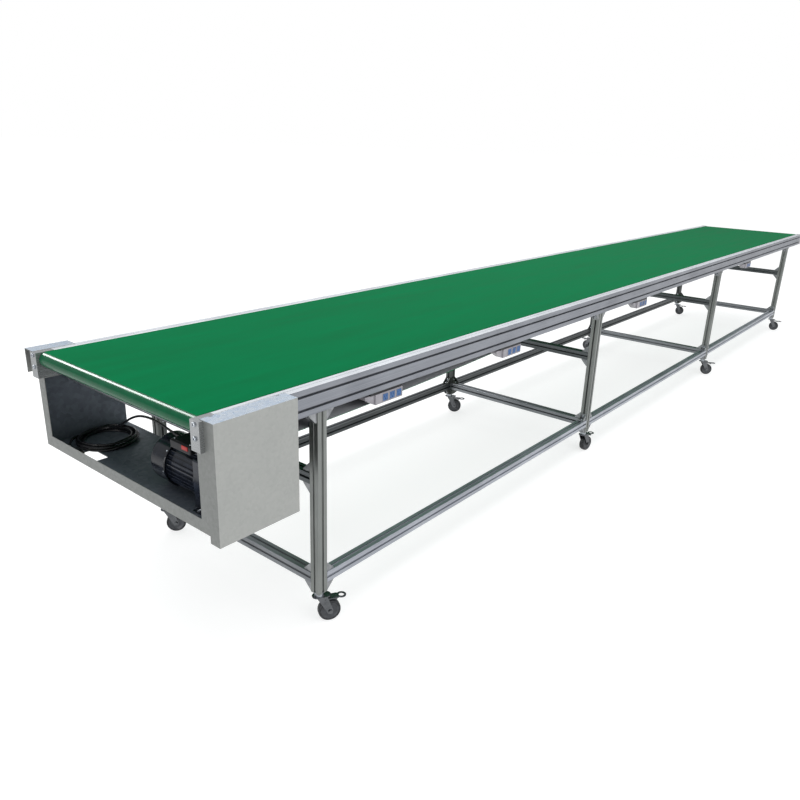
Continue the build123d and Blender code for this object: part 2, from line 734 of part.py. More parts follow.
with BuildPart() as chain_guard:
    guard_low = belt_height - guard_height
    guard_end = housing_front + guard_length
    guard_front = housing_front - guard_step
    box(guard_front, guard_end, -guard_outer, -outer_face, guard_low, belt_height + guard_sheet)
    box(guard_front + guard_sheet, guard_end - guard_sheet, -guard_outer + guard_sheet, -outer_face,
        guard_low + guard_sheet, belt_height, Mode.SUBTRACT)
    box(guard_front, guard_end, -outer_face, -outer_face + guard_lap, belt_height, belt_height + guard_sheet)
    for x in (housing_front + 30, guard_end - 30):
        box(x - 7, x + 7, -outer_face + guard_lap - 6, -outer_face + guard_lap - 2,
            belt_height - 1, belt_height + guard_sheet + 1, Mode.SUBTRACT)
save(chain_guard.part, "chain_guard")

with BuildPart() as bearing_cover:
    cover_low = belt_height - cover_height
    cover_front = nose - block_front + 2
    box(cover_front, cover_front + cover_length, outer_face, guard_outer, cover_low, belt_height + guard_sheet)
    box(cover_front - 1, cover_front + cover_length - guard_sheet, outer_face, guard_outer - guard_sheet,
        cover_low - 1, belt_height, Mode.SUBTRACT)
    box(cover_front, cover_front + cover_length, outer_face - guard_lap, outer_face,
        belt_height, belt_height + guard_sheet)
save(bearing_cover.part, "bearing_cover")

# ================================================================ power sockets
socket_top = rail_bottom - hanger_height
socket_face = -outer_face
with BuildPart() as socket_hangers:
    for start in socket_starts:
        box(start - socket_taper / 2, start + socket_length, socket_face + 2, socket_face + socket_depth,
            socket_top, rail_bottom)
save(socket_hangers.part, "socket_hangers")

with BuildPart() as socket_housings:
    for start in socket_starts:
        box(start, start + socket_length, socket_face, socket_face + socket_depth,
            socket_top - socket_height, socket_top)
        with BuildSketch(Plane.XZ.offset(-socket_face - socket_depth)):
            Polygon((start, socket_top), (start, socket_top - socket_height),
                    (start - socket_taper, socket_top - 9), (start - socket_taper, socket_top), align=None)
        extrude(amount=socket_depth - 6)
        for i in range(insert_count):
            middle = start + socket_length - insert_pitch * (i + 0.5) - 2
            height = socket_top - socket_height / 2
            box(middle - insert_width / 2, middle + insert_width / 2, socket_face - 1, socket_face + 14,
                height - insert_height / 2, height + insert_height / 2, Mode.SUBTRACT)
save(socket_housings.part, "socket_housings")

with BuildPart() as socket_inserts:
    for start in socket_starts:
        for i in range(insert_count):
            middle = start + socket_length - insert_pitch * (i + 0.5) - 2
            height = socket_top - socket_height / 2
            box(middle - insert_width / 2, middle + insert_width / 2, socket_face - 1, socket_face + 14,
                height - insert_height / 2, height + insert_height / 2)
            for dx, dz, wide, tall in ((-6, 3, 2, 6), (6, 3, 2, 6), (0, -6, 2.4, 6)):
                box(middle + dx - wide / 2, middle + dx + wide / 2, socket_face - 2, socket_face + 10,
                    height + dz - tall / 2, height + dz + tall / 2, Mode.SUBTRACT)
save(socket_inserts.part, "socket_inserts")

# ================================================================ power cord
coil_x = nose + coil_back
gland_end = terminal_far + 18
lead_reach = coil_side + 76 - gland_end
cord_route = [
    (terminal_x, gland_end, gland_z),
    (terminal_x + 1, gland_end + 0.0853 * lead_reach, gland_z + 5),
    (terminal_x + 5, gland_end + 0.1756 * lead_reach, gland_z + 10),
    (terminal_x + 11, gland_end + 0.2676 * lead_reach, gland_z + 10),
    (terminal_x + 18, gland_end + 0.3595 * lead_reach, gland_z + 3),
    (terminal_x + 27, gland_end + 0.4498 * lead_reach, gland_z - 11),
    (terminal_x + 38, gland_end + 0.5368 * lead_reach, gland_z - 31),
    (terminal_x + 50, gland_end + 0.6221 * lead_reach, gland_z - 55),
    (terminal_x + 62, gland_end + 0.7057 * lead_reach, gland_z - 81),
    (terminal_x + 74, gland_end + 0.7893 * lead_reach, gland_z - 108),
    (terminal_x + 86, gland_end + 0.8712 * lead_reach, gland_z - 133),
    (terminal_x + 90, gland_end + 0.9448 * lead_reach, gland_z - 153),
    (terminal_x + 81, gland_end + lead_reach, gland_z - 163),
]


def corner_radii(route):
    """Bend radius at each inner corner of a route, from its runs and the turn between them."""
    radii = []
    for before, corner, after in zip(route, route[1:], route[2:]):
        first = Vector(*corner) - Vector(*before)
        second = Vector(*after) - Vector(*corner)
        turn = first.get_angle(second) * pi / 180
        radii.append(0.45 * min(first.length, second.length) * cos(turn / 2) / sin(turn / 2))
    return radii


bends = corner_radii(cord_route)
print("cord bend radii", [round(bend) for bend in bends])

with BuildPart() as power_cord:
    with BuildLine() as cord_line:
        FilletPolyline(*cord_route, radius=bends)
    with BuildSketch(Plane(cord_line.line @ 0, z_dir=cord_line.line % 0)):
        Circle(cord_radius)
    sweep(path=cord_line.line)
print("cord lead length", round(sum(edge.length for edge in cord_line.edges())))
save(power_cord.part, "power_cord")

with BuildPart() as cord_coil:
    with BuildSketch(Plane.XZ):
        with Locations(((coil_outer + coil_inner) / 2, floor_top + coil_rise / 2)):
            RectangleRounded(coil_outer - coil_inner, coil_rise, coil_rise / 2 - 2)
    revolve(axis=Axis.Z)
cord_coil.part.locate(Location((coil_x, coil_side, 0)))
save(cord_coil.part, "cord_coil")

plug_x = housing_front + 22
plug_y = coil_side - 26
plug_z = floor_top + 13
with BuildPart() as cord_plug:
    with BuildSketch(Plane.XZ.offset(-plug_y)):
        with Locations((plug_x, plug_z)):
            RectangleRounded(26, 24, 7)
    extrude(amount=38, taper=4)
    with BuildSketch(Plane.XZ.offset(-plug_y)):
        with Locations((plug_x, plug_z)):
            Circle(8)
    extrude(amount=-22, taper=7)
    stub = Vector(plug_x, plug_y + 18, plug_z)
    towards = Vector(coil_x - 100, coil_side + 57, plug_z) - stub
    with BuildSketch(Plane(stub, z_dir=towards)):
        Circle(cord_radius)
    extrude(amount=towards.length)
    for dx, dz in ((-6, 4), (6, 4), (0, -6)):
        with BuildSketch(Plane.XZ.offset(-plug_y + 38)):
            with Locations((plug_x + dx, plug_z + dz)):
                Rectangle(2, 6)
        extrude(amount=17)
save(cord_plug.part, "cord_plug")

# ================================================================ casters
swivel_top = caster_height - 16
plate_top = swivel_top - swivel_gap
plate_low = plate_top - 3
fork_half = wheel_width / 2 + wheel_side_gap
pedal_pin_x = 18.0
pedal_pin_z = wheel_radius * 2 + 8

with BuildPart() as stem:
    with BuildSketch(Plane.XY.offset(swivel_top)):
        Circle(stem_radius)
    extrude(amount=caster_height - swivel_top)
    with BuildSketch(Plane.XY.offset(caster_height)):
        Circle(post_bore / 2 - 0.1)
    extrude(amount=stud_length)
    with BuildSketch(Plane.XY.offset(swivel_top)):
        Circle(kingpin_radius)
    extrude(amount=-(swivel_gap * 2 + 3))
    with BuildSketch(Plane.XY.offset(plate_low - swivel_gap)):
        Circle(kingpin_radius + 3)
    extrude(amount=-3)

with BuildPart() as fork:
    with BuildSketch(Plane.XY.offset(plate_low)):
        SlotCenterPoint((8, 0), (22, 0), 2 * (fork_half + fork_sheet))
        Circle(kingpin_radius + shaft_fit, mode=Mode.SUBTRACT)
    extrude(amount=plate_top - plate_low)
    for y in (-fork_half, fork_half + fork_sheet):
        with BuildSketch(Plane.XZ.offset(-y)):
            with BuildLine():
                Polyline((-10, plate_low), (26, plate_low), (caster_trail + 11, wheel_radius + 4),
                         (caster_trail + 8, wheel_radius - 9), (caster_trail - 8, wheel_radius - 9),
                         (caster_trail - 12, wheel_radius), (-10, plate_low))
            make_face()
        extrude(amount=fork_sheet)
    rod(caster_trail, wheel_radius, -fork_half - fork_sheet - 5, fork_half + fork_sheet + 5, axle_radius)
    rod(caster_trail, wheel_radius, -fork_half - fork_sheet - 5, -fork_half - fork_sheet, axle_radius + 3)
    rod(caster_trail, wheel_radius, fork_half + fork_sheet, fork_half + fork_sheet + 5, axle_radius + 3)
    rod(pedal_pin_x, pedal_pin_z, -fork_half - fork_sheet - 1, fork_half + fork_sheet + 1, 2.5)

with BuildPart() as wheel:
    with BuildSketch(Plane.XZ.offset(-wheel_width / 2)):
        with Locations((caster_trail, wheel_radius)):
            Circle(wheel_radius)
            Circle(axle_radius + shaft_fit, mode=Mode.SUBTRACT)
    extrude(amount=wheel_width)
    chamfer(edges().filter_by(GeomType.CIRCLE).group_by(SortBy.RADIUS)[-1], 3)

with BuildPart() as brake:
    pedal_half = fork_half - 1.5
    box(pedal_pin_x, pedal_reach - 30, -pedal_half, pedal_half, pedal_pin_z - 1.5, pedal_pin_z + 1.5)
    rod(pedal_pin_x, pedal_pin_z, -pedal_half, pedal_half, 5)
    rod(pedal_pin_x, pedal_pin_z, -pedal_half - 1, pedal_half + 1, 2.5 + shaft_fit, Mode.SUBTRACT)
    box(caster_trail + 19, caster_trail + 26, -pedal_half, pedal_half, pedal_pin_z - 6, pedal_pin_z - 1.5)
    with BuildSketch(Plane.XY.offset(pedal_pin_z - 1.5)):
        with Locations((pedal_reach - 17, 0)):
            Circle(17)
            Circle(9.5, mode=Mode.SUBTRACT)
    extrude(amount=3)

stems = []
number = 0
for side, turns in ((-1, near_swivels), (1, far_swivels)):
    for x, turn in zip(leg_at, turns):
        number += 1
        spot = Location((x, side * rail_middle, 0))
        swivelled = Location((x, side * rail_middle, 0), (0, 0, turn))
        stems.append(spot)
        save(fork.part.moved(swivelled), f"caster_fork_{number}")
        save(wheel.part.moved(swivelled), f"caster_wheel_{number}")
        save(brake.part.moved(swivelled), f"caster_brake_{number}")

with BuildPart() as caster_stems:
    with Locations(*stems):
        add(stem.part)
save(caster_stems.part, "caster_stems")
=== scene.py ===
"""Belt conveyor section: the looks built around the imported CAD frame.

Metres, in the frame of the part: X along the belt from the drive end to the tail, Y across it
towards the far side, Z up, with the origin on the floor under the middle of the belt.
"""

import json
import logging
import math
from collections.abc import Callable
from dataclasses import dataclass
from enum import Enum

import bmesh
import bpy
from mathutils import Matrix, Vector
from mathutils.bvhtree import BVHTree


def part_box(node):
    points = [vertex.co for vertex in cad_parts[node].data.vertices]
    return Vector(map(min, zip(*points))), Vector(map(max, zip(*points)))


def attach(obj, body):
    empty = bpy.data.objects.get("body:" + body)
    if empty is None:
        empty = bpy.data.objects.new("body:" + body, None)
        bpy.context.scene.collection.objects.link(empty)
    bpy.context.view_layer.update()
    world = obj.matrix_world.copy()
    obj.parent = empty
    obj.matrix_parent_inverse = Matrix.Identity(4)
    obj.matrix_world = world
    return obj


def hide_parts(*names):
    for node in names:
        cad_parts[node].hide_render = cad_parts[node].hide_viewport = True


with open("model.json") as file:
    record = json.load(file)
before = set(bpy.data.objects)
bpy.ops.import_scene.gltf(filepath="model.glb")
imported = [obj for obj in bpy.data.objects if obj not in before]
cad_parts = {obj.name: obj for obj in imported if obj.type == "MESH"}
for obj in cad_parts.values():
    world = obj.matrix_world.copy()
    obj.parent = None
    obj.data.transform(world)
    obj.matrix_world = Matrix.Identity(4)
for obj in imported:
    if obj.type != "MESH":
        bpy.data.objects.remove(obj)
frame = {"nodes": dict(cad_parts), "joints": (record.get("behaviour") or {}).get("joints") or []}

LOG = logging.getLogger("conveyor")
MM = 0.001
FRAME_BODY = "frame"
CASTER_COUNT = 8
GLOSS_LAMP = "strip"
FACING = 0.7  # a face looks along an axis when its normal holds more than this of it

Mesh = bpy.types.Mesh
Object = bpy.types.Object
Material = bpy.types.Material
Tree = bpy.types.NodeTree
Node = bpy.types.Node
Socket = bpy.types.NodeSocket
Chooser = Callable[[Vector, Vector], int]


class Grain(Enum):
    """The way along which an extruded or rolled surface shows its lines."""

    X = (0.004, 1.0, 1.0)
    Y = (1.0, 0.004, 1.0)
    Z = (1.0, 1.0, 0.004)


# ---------------------------------------------------------------- nodes and colours
def linear(code: str) -> tuple[float, float, float, float]:
    """Turns an sRGB hex colour to the linear one that shaders use.

    Args:
        code: The colour as "#rrggbb".

    Returns:
        Linear red, green and blue, and an alpha of 1.
    """
    parts = [int(code[i:i + 2], 16) / 255 for i in (1, 3, 5)]
    turned = [c / 12.92 if c <= 0.04045 else ((c + 0.055) / 1.055) ** 2.4 for c in parts]
    return (*turned, 1.0)


def add(tree: Tree, kind: str, settings: dict | None = None, links: dict | None = None) -> Node:
    """Adds a shader node.

    Args:
        tree: The material's node tree.
        kind: The node's type.
        settings: Values for its sockets by name or number, and for its own fields.
        links: The socket that feeds each of its inputs.

    Returns:
        The new node.
    """
    made = tree.nodes.new(kind)
    for key, value in (settings or {}).items():
        if isinstance(key, int) or key in made.inputs:
            made.inputs[key].default_value = value
        else:
            setattr(made, key, value)
    for key, source in (links or {}).items():
        tree.links.new(source, made.inputs[key])
    return made


def per(millimetres: float) -> float:
    """Turns a pattern's size to a texture scale.

    Args:
        millimetres: How far apart the pattern repeats.

    Returns:
        The scale.
    """
    return 1.0 / (millimetres * MM)


def noise(tree: Tree, place: Socket, millimetres: float, detail: float, roughness: float = 0.5,
          output: str = "Fac") -> Socket:
    """Adds a cloudy pattern.

    Args:
        tree: The material's node tree.
        place: The coordinates that it is drawn in.
        millimetres: The size of its patches.
        detail: How many finer layers lie over them.
        roughness: How strong the finer layers are.
        output: Which of the node's outputs is wanted.

    Returns:
        That output.
    """
    settings = {"Scale": per(millimetres), "Detail": detail, "Roughness": roughness}
    return add(tree, "ShaderNodeTexNoise", settings, {"Vector": place}).outputs[output]


# ---------------------------------------------------------------- finishes
@dataclass(frozen=True)
class Finish:
    """What every finish has: a name, a colour, and how metallic and how rough it is."""

    name: str
    colour: str
    metallic: float = 0.0
    roughness: float = 0.5
    ior: float = 1.45

    def start(self) -> tuple[Material, Tree, Node, Socket]:
        """Makes the material with its shader.

        Returns:
            The material, its tree, its shader and the surface's own coordinates.
        """
        material = bpy.data.materials.new(self.name)
        material.use_nodes = True
        tree = material.node_tree
        shader = tree.nodes["Principled BSDF"]
        shader.inputs["Base Color"].default_value = linear(self.colour)
        shader.inputs["Metallic"].default_value = self.metallic
        shader.inputs["Roughness"].default_value = self.roughness
        shader.inputs["IOR"].default_value = self.ior
        material.diffuse_color = linear(self.colour)
        place = add(tree, "ShaderNodeTexCoord").outputs["Object"]
        return material, tree, shader, place

    def mottle(self, tree: Tree, shader: Node, factor: Socket, other: str) -> None:
        """Mixes a second colour into the first by a pattern.

        Args:
            tree: The material's node tree.
            shader: Its shader.
            factor: The pattern.
            other: The second colour as "#rrggbb".
        """
        mix = add(tree, "ShaderNodeMix", {"data_type": "RGBA", 6: linear(self.colour), 7: linear(other)},
                  {"Factor": factor})
        tree.links.new(mix.outputs[2], shader.inputs["Base Color"])

    def vary_roughness(self, tree: Tree, shader: Node, pattern: Socket, spread: float) -> None:
        """Lets a pattern move the roughness up and down.

        Args:
            tree: The material's node tree.
            shader: Its shader.
            pattern: The pattern.
            spread: How far the roughness moves each way.
        """
        ranged = add(tree, "ShaderNodeMapRange",
                     {"To Min": max(0.02, self.roughness - spread), "To Max": min(1.0, self.roughness + spread)},
                     {"Value": pattern})
        tree.links.new(ranged.outputs["Result"], shader.inputs["Roughness"])

    def relief(self, tree: Tree, shader: Node, pattern: Socket, strength: float, height_mm: float) -> None:
        """Raises a pattern from the surface.

        Args:
            tree: The material's node tree.
            shader: Its shader.
            pattern: The pattern.
            strength: How much of the relief shows.
            height_mm: The height of the pattern.
        """
        bump = add(tree, "ShaderNodeBump", {"Strength": strength, "Distance": height_mm * MM}, {"Height": pattern})
        tree.links.new(bump.outputs["Normal"], shader.inputs["Normal"])


@dataclass(frozen=True)
class Extruded(Finish):
    """Satin anodised aluminium profile: long faint die lines and a soft sheen."""

    shade: str = "#8f9297"
    grain: Grain = Grain.X
    line_mm: float = 2.5  # real die lines are 0.2 mm; drawn coarse so that they show
    metallic: float = 0.85
    roughness: float = 0.36

    def make(self) -> Material:
        """Builds the material."""
        material, tree, shader, place = self.start()
        along = add(tree, "ShaderNodeMapping", {"Scale": self.grain.value}, {"Vector": place})
        lines = noise(tree, along.outputs["Vector"], self.line_mm, 3.0)
        cloud = noise(tree, place, 180, 2.0)
        both = add(tree, "ShaderNodeMath", {"operation": "MULTIPLY"}, {0: lines, 1: cloud})
        tint = add(tree, "ShaderNodeMapRange", {"From Min": 0.12, "From Max": 0.42}, {"Value": both.outputs[0]})
        self.mottle(tree, shader, tint.outputs["Result"], self.shade)
        self.vary_roughness(tree, shader, lines, 0.09)
        self.relief(tree, shader, lines, 0.25, 0.05)
        return material


@dataclass(frozen=True)
class Spangled(Finish):
    """Hot-dip galvanised sheet: grey zinc crystals, each at its own brightness."""

    shade: str = "#7f8285"
    spangle_mm: float = 9.0
    wander_mm: float = 6.0
    contrast: float = 0.5
    metallic: float = 0.7
    roughness: float = 0.42

    def make(self) -> Material:
        """Builds the material."""
        material, tree, shader, place = self.start()
        wander = noise(tree, place, 14, 3.0, output="Color")
        push = add(tree, "ShaderNodeVectorMath", {"operation": "MULTIPLY_ADD", 1: (self.wander_mm * MM,) * 3},
                   {0: wander, 2: place})
        cells = add(tree, "ShaderNodeTexVoronoi", {"Scale": per(self.spangle_mm)}, {"Vector": push.outputs[0]})
        cloud = noise(tree, place, 120, 4.0)
        grey = add(tree, "ShaderNodeRGBToBW", {}, {"Color": cells.outputs["Color"]})
        blend = add(tree, "ShaderNodeMix", {"Factor": self.contrast}, {2: cloud, 3: grey.outputs[0]})
        self.mottle(tree, shader, blend.outputs[0], self.shade)
        self.vary_roughness(tree, shader, grey.outputs[0], 0.1)
        self.relief(tree, shader, blend.outputs[0], 0.3, 0.08)
        return material


@dataclass(frozen=True)
class Grained(Finish):
    """A cast, moulded or powdery surface: an even fine grain with slow patches of wear."""

    shade: str = "#202020"
    grain_mm: float = 1.5
    depth_mm: float = 0.1
    patch_mm: float = 40.0

    def make(self) -> Material:
        """Builds the material."""
        material, tree, shader, place = self.start()
        grit = noise(tree, place, self.grain_mm, 4.0)
        patch = noise(tree, place, self.patch_mm, 5.0, 0.6)
        ranged = add(tree, "ShaderNodeMapRange", {"From Min": 0.4, "From Max": 0.68}, {"Value": patch})
        self.mottle(tree, shader, ranged.outputs["Result"], self.shade)
        self.vary_roughness(tree, shader, patch, 0.12)
        self.relief(tree, shader, grit, 0.4, self.depth_mm)
        return material


@dataclass(frozen=True)
class Turned(Finish):
    """Lathe-turned or zinc-plated steel: fine rings round the piece's Y axis and a bright plated look."""

    shade: str = "#75787c"
    ring_mm: float = 3.0
    metallic: float = 0.9
    roughness: float = 0.33

    def make(self) -> Material:
        """Builds the material."""
        material, tree, shader, place = self.start()
        rings = add(tree, "ShaderNodeTexWave", {"bands_direction": "Y", "Scale": per(self.ring_mm) / 20,
                                                "Distortion": 1.5, "Detail": 2.0}, {"Vector": place})
        cloud = noise(tree, place, 30, 5.0)
        self.mottle(tree, shader, cloud, self.shade)
        self.vary_roughness(tree, shader, cloud, 0.12)
        self.relief(tree, shader, rings.outputs["Fac"], 0.15, 0.05)
        return material


@dataclass(frozen=True)
class BeltCover(Finish):
    """Calendered PVC belt cover: smooth and saturated, with faint wipe marks along the travel."""

    shade: str = "#006d40"
    roughness: float = 0.42
    ior: float = 1.53
    gloss: float = 0.006

    def make(self) -> Material:
        """Builds the material."""
        material, tree, shader, place = self.start()
        along = add(tree, "ShaderNodeMapping", {"Scale": (0.12, 1.0, 1.0)}, {"Vector": place})
        wipes = noise(tree, along.outputs["Vector"], 60, 5.0, 0.62)
        grain = noise(tree, place, 1.6, 2.0)
        tint = add(tree, "ShaderNodeMapRange", {"From Min": 0.3, "From Max": 0.75}, {"Value": wipes})
        self.mottle(tree, shader, tint.outputs["Result"], self.shade)
        self.vary_roughness(tree, shader, wipes, 0.08)
        self.relief(tree, shader, grain, 0.25, 0.05)
        shader.inputs["Specular IOR Level"].default_value = self.gloss
        return material


@dataclass(frozen=True)
class Woven(Finish):
    """Polyester running side of the belt: a plain weave, nearly white, a little grubby from the bed."""

    shade: str = "#cfd1d5"
    thread_mm: float = 3.0  # real threads are 1 mm; drawn coarse so that they show
    roughness: float = 0.8

    def make(self) -> Material:
        """Builds the material."""
        material, tree, shader, place = self.start()
        waves = [add(tree, "ShaderNodeTexWave", {"bands_direction": way, "Scale": per(self.thread_mm) / 20,
                                                 "Distortion": 0.4}, {"Vector": place}) for way in ("X", "Y")]
        weave = add(tree, "ShaderNodeMath", {"operation": "MAXIMUM"},
                    {0: waves[0].outputs["Fac"], 1: waves[1].outputs["Fac"]})
        dirt = noise(tree, place, 150, 5.0)
        self.mottle(tree, shader, dirt, self.shade)
        self.relief(tree, shader, weave.outputs[0], 0.5, 0.3)
        return material


# Die-drawn profiles, anodised: light grey with lines along each bar.
STRETCHER = Extruded("anodised_profile_along", "#bfc3cb", shade="#9a9ea6", grain=Grain.X)
RAIL_SIDE = Extruded("anodised_profile_side", "#9a9da4", shade="#81848b", grain=Grain.X)
POST = Extruded("anodised_profile_upright", "#939693", shade="#797c7a", grain=Grain.Z)
BAR = Extruded("anodised_profile_across", "#93969a", shade="#797c80", grain=Grain.Y)
# Tops of the side rails: painted highlight, the same profile set lighter so that they read as a bright line beside
# the belt.
RAIL_TOP_PAINTED_HIGHLIGHT = Extruded("anodised_profile_top_painted_highlight", "#dfe2e6", shade="#c3c6cb", grain=Grain.X, metallic=0.3, roughness=0.3)
# Inner faces under the table and on its far side: the same profile, set darker so that they read as shaded.
SHADED_ALONG = Extruded("anodised_profile_shaded", "#5e6163", shade="#4a4d4f", grain=Grain.X)
SHADED_ACROSS = Extruded("anodised_profile_shaded_across", "#666a6c", shade="#505456", grain=Grain.Y)
SHADED_UPRIGHT = Extruded("anodised_profile_shaded_upright", "#5c5f5e", shade="#484b4a", grain=Grain.Z)
# Milled aluminium end blocks: brighter than the profiles, nearly smooth.
BLOCK = Extruded("milled_aluminium", "#a9abac", shade="#8f9192", grain=Grain.X, line_mm=1.2, roughness=0.28)
# Die-cast corner brackets: a sandy grey skin.
CAST = Grained("die_cast_aluminium", "#a6a8aa", metallic=0.7, roughness=0.48, shade="#7e8083", grain_mm=2.0)
# The same brackets, on the inner faces of the far side, set darker so that they read as shaded.
CAST_SHADED = Grained("die_cast_shaded", "#565855", metallic=0.7, roughness=0.42, shade="#3c3e3c", grain_mm=2.0)
# Zinc-plated screws: cold bright grey.
BOLT = Turned("zinc_plated_steel", "#c0c4c9", shade="#8f949b", roughness=0.26)
# Galvanised sheet in daylight, on the folded fronts and the guards.
GALVANISED = Spangled("galvanised_sheet", "#adaeab", shade="#a0a29f", contrast=0.25)
# Its edges and flanges that face the drive end: painted shade, the same sheet set a little darker than the broad
# sides.
GALVANISED_FRONT_PAINTED_SHADE = Spangled("galvanised_sheet_front_painted_shade", "#848684", shade="#787a78", contrast=0.3)
# The same sheet lying flat: its spangle shows plainly, and its pale bluish colour is a painted reflection of the sky.
GALVANISED_TOP_PAINTED_REFLECTION = Spangled("galvanised_sheet_spangle_painted_reflection", "#dfe6ee", shade="#8fa0b4", contrast=0.8, roughness=0.3)
# Inside of the housing: painted shade, the same zinc set dark slate-blue and dull.
GALVANISED_INSIDE_PAINTED_SHADE = Spangled("galvanised_sheet_inside_painted_shade", "#6c737d", shade="#4d535d", spangle_mm=14.0, metallic=0.35,
                             roughness=0.5)
# Mill-finish steel of the bed and its ties.
MILL = Extruded("mill_finish_steel", "#8d9094", shade="#6b6e72", grain=Grain.X, roughness=0.45)
# Roller tubes: turned steel with rings.
ROLLER = Turned("turned_roller_steel", "#a9acb0")
# Bearing housings: dark cast iron.
IRON = Grained("painted_cast_iron", "#3c3e41", metallic=0.3, roughness=0.5, shade="#2a2b2d")
# Motor and gearbox: black enamel over a cast skin, half gloss.
ENAMEL = Grained("black_enamel_on_castings", "#161a22", roughness=0.2, shade="#262b37", depth_mm=0.1)
# Fan cowl: the same black, stoved on smooth sheet, so it shines more.
STOVED = Grained("stoved_black_sheet", "#0d1016", roughness=0.2, shade="#181c25", grain_mm=4.0, depth_mm=0.03)
# Moulded black nylon: matt.
NYLON = Grained("moulded_black_nylon", "#0d0d10", roughness=0.45, shade="#18181c")
# Cable jacket: soft PVC with a dull shine.
JACKET = Grained("soft_pvc_jacket", "#0b0b0d", roughness=0.28, shade="#191a1d", grain_mm=2.5, depth_mm=0.03)
# Socket strip shell: glossy ABS, pale and a little violet.
SHELL = Grained("moulded_abs_shell", "#9d9a9f", roughness=0.32, shade="#8e8b91", depth_mm=0.03)
# Socket inserts: blue polycarbonate.
BLUE = Grained("moulded_blue_polycarbonate", "#3a6296", roughness=0.35, shade="#2f5384", depth_mm=0.03)
# Blanking plate of the terminal box: red moulding.
RED = Grained("moulded_red_nylon", "#a8201c", roughness=0.35, shade="#861611", depth_mm=0.04)
# Pressed caster forks and pedals: plated steel, slightly yellowed.
PRESSED = Turned("plated_pressed_steel", "#85878a", shade="#484a4d", metallic=0.95, roughness=0.22)
# Caster treads: dark polyurethane, scuffed where it rolls.
TREAD = Grained("cast_polyurethane_tread", "#1b1c1f", roughness=0.45, shade="#34363a", grain_mm=2.0, patch_mm=12.0)
# Caster wheel centres: grey moulded polypropylene.
HUB = Grained("moulded_grey_polypropylene", "#4a4c50", roughness=0.42, shade="#3a3c40")
# Roller chain: oiled steel, dark between the plates.
CHAIN = Turned("oiled_chain_steel", "#6c6a66", shade="#3d3b38", roughness=0.4)
# Plug pins: nickel-plated brass.
PIN = Turned("nickel_plated_brass", "#c9c3b2", shade="#a49d8b", roughness=0.22)
# Belt cover on the flat: a full, slightly bluish green.
GREEN = BeltCover("pvc_belt_cover", "#006439")
# The same cover drawn tight round the end rollers, where it shines; its darker green there is painted shade.
GREEN_BEND_PAINTED_SHADE = BeltCover("pvc_belt_cover_bent_painted_shade", "#00472b", shade="#005232", roughness=0.19, gloss=0.18)
# Running side of the belt: nearly white cloth.
FABRIC = Woven("polyester_belt_underside", "#e9eaed")


class Palette:
    """Makes each finish's material once and hands it out again."""

    def __init__(self) -> None:
        """Starts empty."""
        self.made: dict[str, Material] = {}

    def of(self, finish: Finish) -> Material:
        """The material of a finish.

        Args:
            finish: The finish wanted.

        Returns:
            Its material, new on the first call.
        """
        if finish.name not in self.made:
            self.made[finish.name] = finish.make()
        return self.made[finish.name]

    def each(self, *finishes: Finish) -> list[Material]:
        """The materials of several finishes.

        Args:
            finishes: The finishes wanted.

        Returns:
            Their materials in order.
        """
        return [self.of(finish) for finish in finishes]

    def dress(self, finish: Finish, *nodes: str) -> None:
        """Gives CAD nodes a finish.

        Args:
            finish: The finish.
            nodes: The nodes that take it.
        """
        for node in nodes:
            data = frame["nodes"][node].data
            data.materials.clear()
            data.materials.append(self.of(finish))


